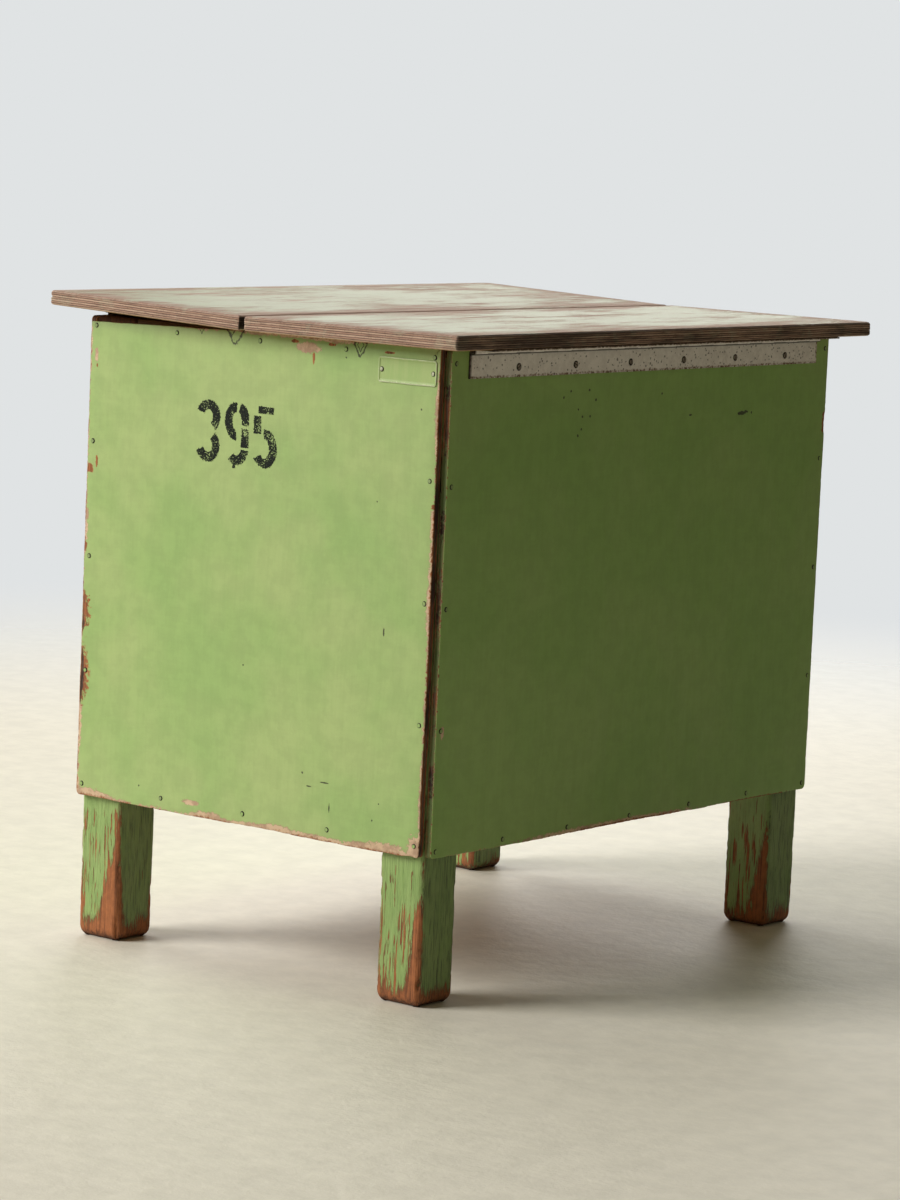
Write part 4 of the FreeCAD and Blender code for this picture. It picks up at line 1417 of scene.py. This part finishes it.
@dataclass
class Panel:
    """One painted plywood wall with rough edges.

    Attributes:
        node: The CAD node.
        outward: Direction of its painted face.
        seed: Moves its edge wear.
        marks: Its single worn places.
        top_drop: How far the top edge falls towards the low end.
        bare_width: How far bare edges reach in.
        pale_width: How far the pale undercoat shows.
        green: The paint's green; on the right wall a darker, more saturated green that paints in shade.
        veil: Share of the colour change over the face, 0 to 1.
        rim_paint: Share of paint left on the edges of the plies, 0 to 1.
        edge_depth: Depth of the roughness of its edges.
        corner_radius: Rounding of its corners, seen from outside.
        top_radius: Rounding of its upper corners if it runs along X.
    """

    node: str
    outward: Vector
    seed: float
    marks: tuple[Mark, ...] = ()
    top_drop: float = 0.0
    bare_width: float = 0.0014
    pale_width: float = 0.003
    green: Colour = LEAF_GREEN
    veil: float = 1.0
    rim_paint: float = 0.0
    edge_depth: float = 0.0007
    corner_radius: float = 0.004
    top_radius: float = 0.0012

    def along_axis(self) -> int:
        """Number of the level axis that the panel runs along."""
        return 0 if abs(self.outward.y) > 0.5 else 1

    def inset(self, station: Station, height: float) -> float:
        """How far the edge is worn in at a station."""
        at = Vector((station.place.x + self.seed, station.place.y, height * 1.5))
        rough = max(0.0, 0.45 + 0.55 * roughly(at, 0.022, 4)) * self.edge_depth
        splinter = max(0.0, roughly(at, 0.0035, 2) - 0.3) * 0.0008
        bitten = 0.0
        for mark in (m for m in self.marks if m.bite):
            away = Vector(((station.place.x / MM - mark.along) / (mark.wide + 6),
                           (station.place.y / MM - mark.height) / mark.high)).length
            shape = max(0.0, 1 - away * away) ** 0.7
            bitten = max(bitten, mark.bite * MM * shape * (1 + 0.5 * roughly(at, 0.005, 3)))
        return rough + splinter + bitten

    def build(self) -> None:
        """Makes the panel and settles it."""
        low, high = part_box(self.node)
        axis = self.along_axis()
        across = 1 - axis
        thickness = high[across] - low[across]
        sign = self.outward[across]
        inner_face = low[across] if sign > 0 else high[across]
        fall = self.top_drop

        def place(along: float, height: float, depth: float) -> Vector:
            """Sets a point of the level outline on the wall."""
            share = (height - low.z) / (high.z - low.z)
            drop = fall * share * max(0.0, -along / -low[axis]) if fall else 0.0
            spot = Vector((0, 0, height - drop))
            spot[axis] = along
            spot[across] = inner_face + sign * depth
            return spot

        layers = 9
        sections = [(0.0, 0.0004), (0.0003, 0.0001)]
        for layer in range(1, layers):
            depth = thickness * layer / layers
            sections.append((depth, 0.0003 * abs(math.sin(math.pi * 1.5 * depth / thickness))))
        sections += [(thickness - 0.0004, 0.0001), (thickness - 0.0001, 0.0004), (thickness, 0.0009)]
        top_radius = self.top_radius if axis == 0 else self.corner_radius
        radii = [self.corner_radius] * 2 + [top_radius] * 2
        slab = Slab(self.node + "_ply", Vector((low[axis], low.z)), Vector((high[axis], high.z)), radii,
                    0.0016, sections, self.inset, place)
        piece = slab.build()
        finish = PanelPaint(self.node + " paint", tuple(low), tuple(high), tuple(self.outward), self.marks,
                            self.bare_width, self.pale_width, self.veil, self.green, self.rim_paint)
        piece.data.materials.append(finish.make())
        settle(piece, CHEST, "green_panel", self.node)


@dataclass
class Flap:
    """One board of the top, lying level or tilted on its hinge.

    Attributes:
        side: right or left.
        outward: X direction of its outer side.
        seed: Moves its edge wear.
        ply_count: How many veneers it is made of.
        rounding: Rounding of its rim.
        ply: Thickness of one veneer, found from the CAD board when it is built.
    """

    side: str
    outward: int
    seed: float
    ply_count: int = BOARD_PLIES
    rounding: float = 0.0026
    ply: float = field(default=0.0, init=False)

    def node(self) -> str:
        """Name of the CAD node."""
        return self.side + "_flap"

    def pin(self) -> Vector:
        """Place of the hinge pin."""
        joint = next(j for j in frame["joints"] if j["child"] == self.node())
        return Vector(joint["pos_m"])

    def tilt(self) -> float:
        """Angle of the closed board about the pin, from its largest CAD face."""
        faces = frame["nodes"][self.node()].data.polygons
        normal = max(faces, key=lambda face: face.area).normal
        normal = normal if normal.z > 0 else -normal
        return math.atan2(normal.x, normal.z)

    def inset(self, station: Station, height: float) -> float:
        """How far the edge is worn in, deepest at the glue lines."""
        at = Vector((station.place.x + self.seed, station.place.y, height * 2))
        along = Vector((station.place.x + self.seed, station.place.y, round(height / self.ply) * 0.05))
        line = abs(height / self.ply - round(height / self.ply))
        groove = max(0.0, 1 - line / 0.22) * 0.00032
        rough = (0.5 + 0.5 * roughly(at, 0.03, 3)) * 0.0005
        veneer = max(0.0, roughly(along, 0.012, 3)) * 0.0005
        nick = max(0.0, roughly(at, 0.008, 2) - 0.32) * 0.0016
        return groove + rough + veneer + nick

    def build(self) -> None:
        """Makes the board and settles it."""
        tilt, pin = self.tilt(), self.pin()
        turn = Matrix.Translation(pin) @ Matrix.Rotation(tilt, 4, "Y") @ Matrix.Translation(-pin)
        back = turn.inverted()
        spots = [back @ vertex.co for vertex in frame["nodes"][self.node()].data.vertices]
        low = Vector([min(spot[axis] for spot in spots) for axis in range(3)])
        high = Vector([max(spot[axis] for spot in spots) for axis in range(3)])
        thickness = high.z - low.z
        self.ply = thickness / self.ply_count
        rounding = self.rounding
        bend = [(1 - math.cos(angle), 1 - math.sin(angle)) for angle in (0.0, 0.5, 1.0, 1.5)]
        sections = [(rounding * tall, rounding * inset) for tall, inset in bend]
        count = 24
        middle = [(rounding + (thickness - 2 * rounding) * part / count, 0.0) for part in range(1, count)]
        top = [(thickness - tall, inset) for tall, inset in reversed(sections)]
        front, back, seam = 0.003, 0.010, 0.003 if self.outward > 0 else 0.0015
        corners = [seam, front, back, seam] if self.outward > 0 else [front, seam, seam, back]
        slab = Slab(self.node() + "_board", low.xy, high.xy, corners, 0.0018, sections + middle + top,
                    self.inset, lambda x, y, tall: turn @ Vector((x, y, low.z + tall)))
        piece = slab.build()
        finish = BoardTop(self.node() + " plywood", tuple(low), tuple(high), tilt, tuple(pin),
                          1.0 if self.outward > 0 else 0.0)
        piece.data.materials.append(finish.make())
        settle(piece, self.node(), "top_plywood", self.node())


@dataclass
class Rail:
    """One sawn rail between two posts.

    Attributes:
        node: The CAD node.
        seed: Moves its grain.
    """

    node: str
    seed: float

    def inset(self, station: Station, height: float) -> float:
        """Unevenness of the sawn faces."""
        at = Vector((station.place.x + self.seed, station.place.y, height))
        return (0.5 + 0.5 * roughly(at, 0.05, 3)) * 0.00035

    def build(self) -> None:
        """Makes the rail and settles it."""
        low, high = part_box(self.node)
        size = high - low
        axis = 0 if size.x > size.y else 1
        across = 1 - axis
        reach = size[axis]

        def place(side: float, tall: float, along: float) -> Vector:
            """Stands a point of the cross-section along the rail."""
            spot = Vector((0, 0, tall))
            spot[axis] = low[axis] + along
            spot[across] = side
            return spot

        rows = max(4, round(reach / 0.02))
        sections = [(0.0, 0.0009), (0.0009, 0.0)]
        sections += [(reach * row / rows, 0.0) for row in range(1, rows)]
        sections += [(reach - 0.0009, 0.0), (reach, 0.0009)]
        slab = Slab(self.node + "_timber", Vector((low[across], low.z)), Vector((high[across], high.z)),
                    [0.0012] * 4, 0.0045, sections, self.inset, place, 0.006)
        piece = slab.build()
        stretch = (12, 260, 260) if axis == 0 else (260, 12, 260)
        # The top rails are much darker than the bottom ones: painted shade under the lid; the others carry
        # only dirt.
        dirt_and_shade = 0.55 if self.node.startswith("top") else 0.1
        finish = BareTimber(self.node + " wood", stretch, (self.seed, self.seed, 0), dirt_and_shade)
        piece.data.materials.append(finish.make())
        settle(piece, CHEST, "bare_timber", self.node)


@dataclass
class Nameplate:
    """Blank metal plate with a raised rim, painted over.

    Attributes:
        node: The CAD node.
        rim: Width of the rim.
        recess: Depth of the field inside it.
    """

    node: str = "nameplate"
    rim: float = 0.0016
    recess: float = 0.00045

    def build(self) -> None:
        """Makes the plate and settles it."""
        low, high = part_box(self.node)
        thick = high.y - low.y

        def wobble(station: Station, height: float) -> float:
            """Small unevenness of the stamped rim."""
            at = Vector((station.place.x, station.place.y, height))
            return (0.5 + 0.5 * roughly(at, 0.012, 2)) * 0.0003

        def place(along: float, tall: float, depth: float) -> Vector:
            """Sets a point of the plate's outline on the front wall."""
            return Vector((along, high.y - depth, tall))

        field_depth = thick - self.recess
        sections = [(0.0, 0.0), (thick - 0.0003, 0.0), (thick - 0.00008, 0.00012), (thick, 0.0004),
                    (thick, self.rim - 0.0005), (thick - 0.0001, self.rim - 0.0002),
                    (field_depth + 0.0001, self.rim), (field_depth, self.rim + 0.0003)]
        slab = Slab(self.node + "_plate", Vector((low.x, low.z)), Vector((high.x, high.z)), [0.0025] * 4,
                    0.0007, sections, wobble, place, 0.0032)
        piece = slab.build()
        piece.data.materials.append(PlatePaint("nameplate paint", tuple(low), tuple(high)).make())
        settle(piece, CHEST, "nameplate_paint", self.node)


@dataclass(frozen=True)
class Stroke:
    """One stroke of a stencilled figure, in millimetres from the figure's lower middle.

    Attributes:
        centre: Middle of the arc, or start of a straight stroke.
        reach: Radii of the arc, or the end of a straight stroke.
        sweep: First and last angle in degrees, or None for a straight stroke.
        width: Stroke width.
    """

    centre: tuple[float, float]
    reach: tuple[float, float]
    sweep: tuple[float, float] | None = None
    width: float = 9.8

    def at(self, share: float) -> Vector:
        """Point of the middle line at a share of its length."""
        if self.sweep is None:
            return Vector(self.centre).lerp(Vector(self.reach), share)
        angle = math.radians(self.sweep[0] + (self.sweep[1] - self.sweep[0]) * share)
        return Vector((self.centre[0] + self.reach[0] * math.cos(angle),
                       self.centre[1] + self.reach[1] * math.sin(angle)))


THREE = (Stroke((0, 36.5), (8.6, 9.6), (165, -62)), Stroke((0, 13.5), (8.6, 9.6), (62, -165)))
NINE = (Stroke((-1, 35), (7.8, 11.2), (82, 278)), Stroke((1, 35), (7.8, 11.2), (82, -20)),
        Stroke((8.8, 30), (8.8, 14)), Stroke((0.5, 13), (8.3, 9.2), (0, -140)),
        Stroke((-1.5, 4.5), (-2.0, -3.0), None, 3.6))
FIVE = (Stroke((-8.5, 46), (8.5, 46), None, 7.0), Stroke((-8.4, 41.5), (-8.4, 26.5)),
        Stroke((-0.5, 15.5), (9, 11.7), (104, -150)))


@dataclass
class StencilNumber:
    """Three generic figures stencilled on the front wall.

    Attributes:
        figures: The strokes of each figure and its middle along the wall, in millimetres.
        base: Height of the figures' feet, in millimetres.
        proud: How far the paint stands in front of the wall.
    """

    figures: tuple[tuple[float, tuple[Stroke, ...]], ...] = ((-51.5, THREE), (-21.0, NINE), (9.0, FIVE))
    base: float = 408.0
    proud: float = 0.00006

    def ribbon(self, work: bmesh.types.BMesh, layer: Any, stroke: Stroke, shift: Vector,
               face: float) -> None:
        """Lays one stroke as a ribbon whose core value fades at its borders.

        Args:
            work: Mesh work to add to.
            layer: The core value's layer.
            stroke: The stroke.
            shift: Its place on the wall, in millimetres.
            face: Y of the ribbon.
        """
        rows = 26
        columns = (-0.5, -0.36, 0.0, 0.36, 0.5)
        grid = []
        for row in range(rows + 1):
            share = row / rows
            before, after = stroke.at(max(0.0, share - 0.01)), stroke.at(min(1.0, share + 0.01))
            run = (after - before).normalized()
            side = Vector((-run.y, run.x))
            line = []
            for column in columns:
                spot = stroke.at(share) + side * column * stroke.width + shift
                vertex = work.verts.new((spot.x * MM, face, spot.y * MM))
                vertex[layer] = 1.0 if abs(column) < 0.5 and 0 < row < rows else 0.0
                line.append(vertex)
            grid.append(line)
        for below, above in zip(grid, grid[1:]):
            for index in range(len(columns) - 1):
                work.faces.new((below[index], below[index + 1], above[index + 1], above[index]))

    def build(self) -> None:
        """Makes the number and lets it ride on the chest."""
        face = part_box("front_panel")[0].y - self.proud
        work = bmesh.new()
        layer = work.verts.layers.float.new("core")
        depth = 0.0
        for middle, strokes in self.figures:
            for stroke in strokes:
                depth += 0.000004
                self.ribbon(work, layer, stroke, Vector((middle, self.base)), face - depth)
        for polygon in work.faces:
            polygon.normal_update()
            if polygon.normal.y > 0:
                polygon.normal_flip()
        piece = finish_mesh(work, "stencil_number")
        piece.data.materials.append(StencilInk("stencil ink").make())
        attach(piece, "chest")
        LOG.info("%s: %d faces", piece.name, len(piece.data.polygons))


@dataclass
class Studio:
    """Camera, light and floor.

    Attributes:
        eye: Camera place.
        look: Direction that it looks in.
        roll: Turn about that direction, degrees.
        lens: Focal length in millimetres on a 36 mm sensor.
    """

    eye: Vector = field(default_factory=lambda: Vector((2.1380, -2.7391, 0.7178)))
    look: Vector = field(default_factory=lambda: Vector((-0.61256, 0.78057, -0.12441)))
    roll: float = 2.53
    lens: float = 123.8

    def camera(self) -> None:
        """Adds the camera."""
        data = bpy.data.cameras.new("camera")
        data.lens = self.lens
        data.sensor_width = 36
        data.clip_end = 50
        camera = bpy.data.objects.new("camera", data)
        level = self.look.to_track_quat("-Z", "Y")
        camera.rotation_mode = "QUATERNION"
        camera.rotation_quaternion = level @ Matrix.Rotation(math.radians(self.roll), 3, "Z").to_quaternion()
        camera.location = self.eye
        bpy.context.scene.collection.objects.link(camera)
        bpy.context.scene.camera = camera

    def lamp(self, name: str, place: Triple, target: Triple, size: float, power: float,
             colour: Triple) -> None:
        """Adds a square area light.

        Args:
            name: The light's name.
            place: Where it hangs.
            target: What it points at.
            size: Side length.
            power: Watts.
            colour: Its colour.
        """
        data = bpy.data.lights.new(name, "AREA")
        data.size, data.energy, data.color = size, power, colour
        lamp = bpy.data.objects.new(name, data)
        lamp.location = place
        lamp.rotation_euler = (Vector(target) - Vector(place)).to_track_quat("-Z", "Y").to_euler()
        bpy.context.scene.collection.objects.link(lamp)

    def world(self) -> None:
        """Adds a soft pale surround that is brighter to look at than it lights."""
        world = bpy.data.worlds.new("surround")
        world.use_nodes = True
        world.node_tree.nodes.clear()
        graph = Graph(world.node_tree)
        seen = graph.node("ShaderNodeBackground", {"Color": PALE_SURROUND, "Strength": 1.0})
        lit = graph.node("ShaderNodeBackground", {"Color": WARM_FILL, "Strength": 0.12})
        to_eye = graph.node("ShaderNodeLightPath").outputs["Is Camera Ray"]
        both = graph.node("ShaderNodeMixShader", {0: to_eye, 1: lit.outputs[0], 2: seen.outputs[0]})
        graph.node("ShaderNodeOutputWorld", {"Surface": both.outputs[0]})
        bpy.context.scene.world = world

    def floor(self) -> None:
        """Adds the floor."""
        reach = 3.2
        work = bmesh.new()
        bmesh.ops.create_grid(work, x_segments=8, y_segments=8, size=reach)
        made = finish_mesh(work, "floor")
        made.data.materials.append(PaleFloor("pale floor", 0.9, 2.4).make())

    def build(self) -> None:
        """Sets up the whole studio."""
        self.camera()
        self.world()
        self.floor()
        self.lamp("window", (-2.1, -2.8, 2.2), (0, 0, 0.25), 1.9, 142, (1.0, 0.985, 0.96))
        self.lamp("side window", (-2.6, 0.4, 2.2), (0, 0, 0.3), 1.6, 30, (0.97, 0.985, 1.0))
        self.lamp("ceiling", (-1.0, 0.8, 3.2), (0, 0.1, 0), 2.4, 16, (1.0, 0.99, 0.96))
        self.lamp("far bounce", (-1.6, 2.6, 0.9), (0, 0.1, 0), 1.6, 30, (1.0, 0.99, 0.96))
        bpy.context.scene.view_settings.view_transform = "Standard"


def flecks(size: float, *places: tuple[float, float]) -> tuple[Mark, ...]:
    """Lists small dark specks of one size at several places."""
    return tuple(Mark(along, height, size, size, Showing.STAIN) for along, height in places)


FRONT_MARKS = (
    Mark(-185, 220, 11.0, 25, Showing.TIMBER, 3.0),
    Mark(-186, 272, 11.0, 20, Showing.TIMBER, 2.4),
    Mark(-182, 327, 2.4, 5, Showing.TIMBER),
    Mark(-179, 391, 4.0, 4, Showing.TIMBER),
    Mark(-172, 397, 1.2, 5, Showing.TIMBER),
    Mark(182, 394, 2.6, 2.6, Showing.TIMBER),
    Mark(36, 511, 4, 1.4, Showing.TIMBER),
    Mark(56, 500, 1.4, 5, Showing.TIMBER),
    Mark(74, 511, 4, 1.1, Showing.TIMBER),
    Mark(132, 509, 5, 1.0, Showing.TIMBER),
    Mark(-26, 516, 9, 13, Showing.CRACK),
    Mark(-31, 515, 4, 6, Showing.CRACK),
    Mark(103, 513, 6, 10, Showing.CRACK),
    Mark(103, 513, 3, 5, Showing.CRACK),
    Mark(-62, 514, 2.4, 4, Showing.CRACK),
    Mark(-170, 121, 18, 5, Showing.UNDERCOAT),
    Mark(148, 120, 26, 7, Showing.UNDERCOAT),
    Mark(178, 124, 9, 13, Showing.UNDERCOAT, 1.0),
    Mark(183, 168, 3.2, 42, Showing.UNDERCOAT, 0.8),
    Mark(-176, 484, 2.0, 6, Showing.UNDERCOAT),
    Mark(-175, 476, 0.9, 1.6, Showing.TIMBER),
    Mark(50, 507, 12, 4.5, Showing.UNDERCOAT),
    Mark(-56, 130, 9, 2.2, Showing.UNDERCOAT),
    Mark(-4, 120, 14, 2.4, Showing.UNDERCOAT),
    Mark(20, 120, 30, 3.4, Showing.UNDERCOAT, 0.6),
    Mark(138, 292, 0.9, 4, Showing.STAIN),
    Mark(84, 166, 4.5, 0.6, Showing.STAIN),
    Mark(68, 161, 2.5, 0.6, Showing.STAIN),
    Mark(90, 147, 0.6, 3, Showing.STAIN),
) + flecks(0.8, (-113, 136), (134, 143), (140, 157), (61, 171), (126, 393), (166, 468), (-5, 249), (89, 502))
RIGHT_MARKS = (
    Mark(130, 453, 6, 1.6, Showing.STAIN),
    Mark(136, 454, 3, 1.0, Showing.STAIN),
    Mark(55, 454, 2.2, 1.0, Showing.STAIN),
    Mark(256, 440, 3, 10, Showing.TIMBER, 1.2),
    Mark(-258, 218, 2.0, 5, Showing.UNDERCOAT),
    Mark(-10, 119, 90, 2.6, Showing.TIMBER, 0.5),
    Mark(-30, 120, 120, 3.4, Showing.UNDERCOAT),
    Mark(170, 119, 60, 1.8, Showing.TIMBER, 0.4),
) + flecks(1.1, (-112, 479), (-121, 474), (-87, 479), (-101, 464), (-95, 458), (-85, 458), (-96, 448),
           (-100, 443), (-78, 471), (13, 473), (144, 453))


def build_walls() -> None:
    """Builds the four walls and their nails."""
    walls = (
        Panel("front_panel", Vector((0, -1, 0)), 0.0, FRONT_MARKS, 0.0043, 0.0010, 0.0022),
        Panel("back_panel", Vector((0, 1, 0)), 0.7),
        # The right wall gets a darker, more saturated green with fewer yellowed patches: painted shade for
        # the side turned from the light.
        Panel("right_panel", Vector((1, 0, 0)), 1.4, RIGHT_MARKS, 0.0, 0.0003, 0.0004,
              green=PAINTED_SHADE_GREEN, veil=0.3, rim_paint=0.7),
        Panel("left_panel", Vector((-1, 0, 0)), 2.1),
    )
    finish = HeadFinish("painted nails", LEAF_GREEN, DIRT_AND_SHADE_BLACK, 0.1)
    for seed, wall in enumerate(walls, start=3):
        wall.build()
        Fasteners(wall.node + "_nails", Head.NAIL, wall.outward, CHEST, finish, seed).build()


def build_frame() -> None:
    """Builds the posts, rails and bottom board."""
    wear_of_post = {"post_front_left": 1.35, "post_front_right": 0.9,
                    "post_back_left": 0.3, "post_back_right": 0.95}
    for index, (node, wear) in enumerate(wear_of_post.items()):
        Post(node, wear, 1.7 * index + 0.4).build()
    ends = ("front", "back", "left", "right")
    for index, node in enumerate(f"{level}_rail_{end}" for level in ("top", "bottom") for end in ends):
        Rail(node, 0.9 * index).build()
    repaint("bottom_board", BareTimber("bottom board wood", (200, 9, 200), (2, 5, 1)))
    finish = HeadFinish("board nails", STEEL, DIRT_AND_SHADE_BLACK, 0.6)
    Fasteners("bottom_board_nails", Head.NAIL, UP, CHEST, finish, 11).build()


def build_top() -> None:
    """Builds the flaps and their strip hinges."""
    for side, outward in (("right", 1), ("left", -1)):
        flap = Flap(side, outward, 0.6 * outward)
        flap.build()
        for leaf in ("wall_leaf", "flap_leaf", "pin"):
            node = f"{side}_hinge_{leaf}"
            low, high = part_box(node)
            repaint(node, StripSteel(node + " steel", tuple(low), tuple(high)))
        screws = HeadFinish(side + " screws", SCREW_GREY, DIRT_AND_SHADE_BLACK, 0.3)
        level = Vector((outward, 0, 0))
        under = Matrix.Rotation(flap.tilt(), 3, "Y") @ -UP
        for kind, facing, body in (("wall", level, CHEST), ("flap", under, flap.node())):
            Fasteners(f"{side}_hinge_{kind}_screws", Head.SCREW, facing, body, screws, 21).build()


def build_labels() -> None:
    """Builds the blank nameplate, its pins and the number."""
    Nameplate().build()
    pins = HeadFinish("plate pins", PIN_PALE, DIRT_AND_SHADE_BLACK, 0.1)
    Fasteners("nameplate_pins", Head.PIN, Vector((0, -1, 0)), CHEST, pins, 31).build()
    StencilNumber().build()


def main() -> None:
    """Builds the studio and every sub-assembly in order."""
    logging.basicConfig(level=logging.INFO, format="%(name)s %(message)s")
    Studio().build()
    build_frame()
    build_walls()
    build_top()
    build_labels()


if __name__ == "__main__":
    main()
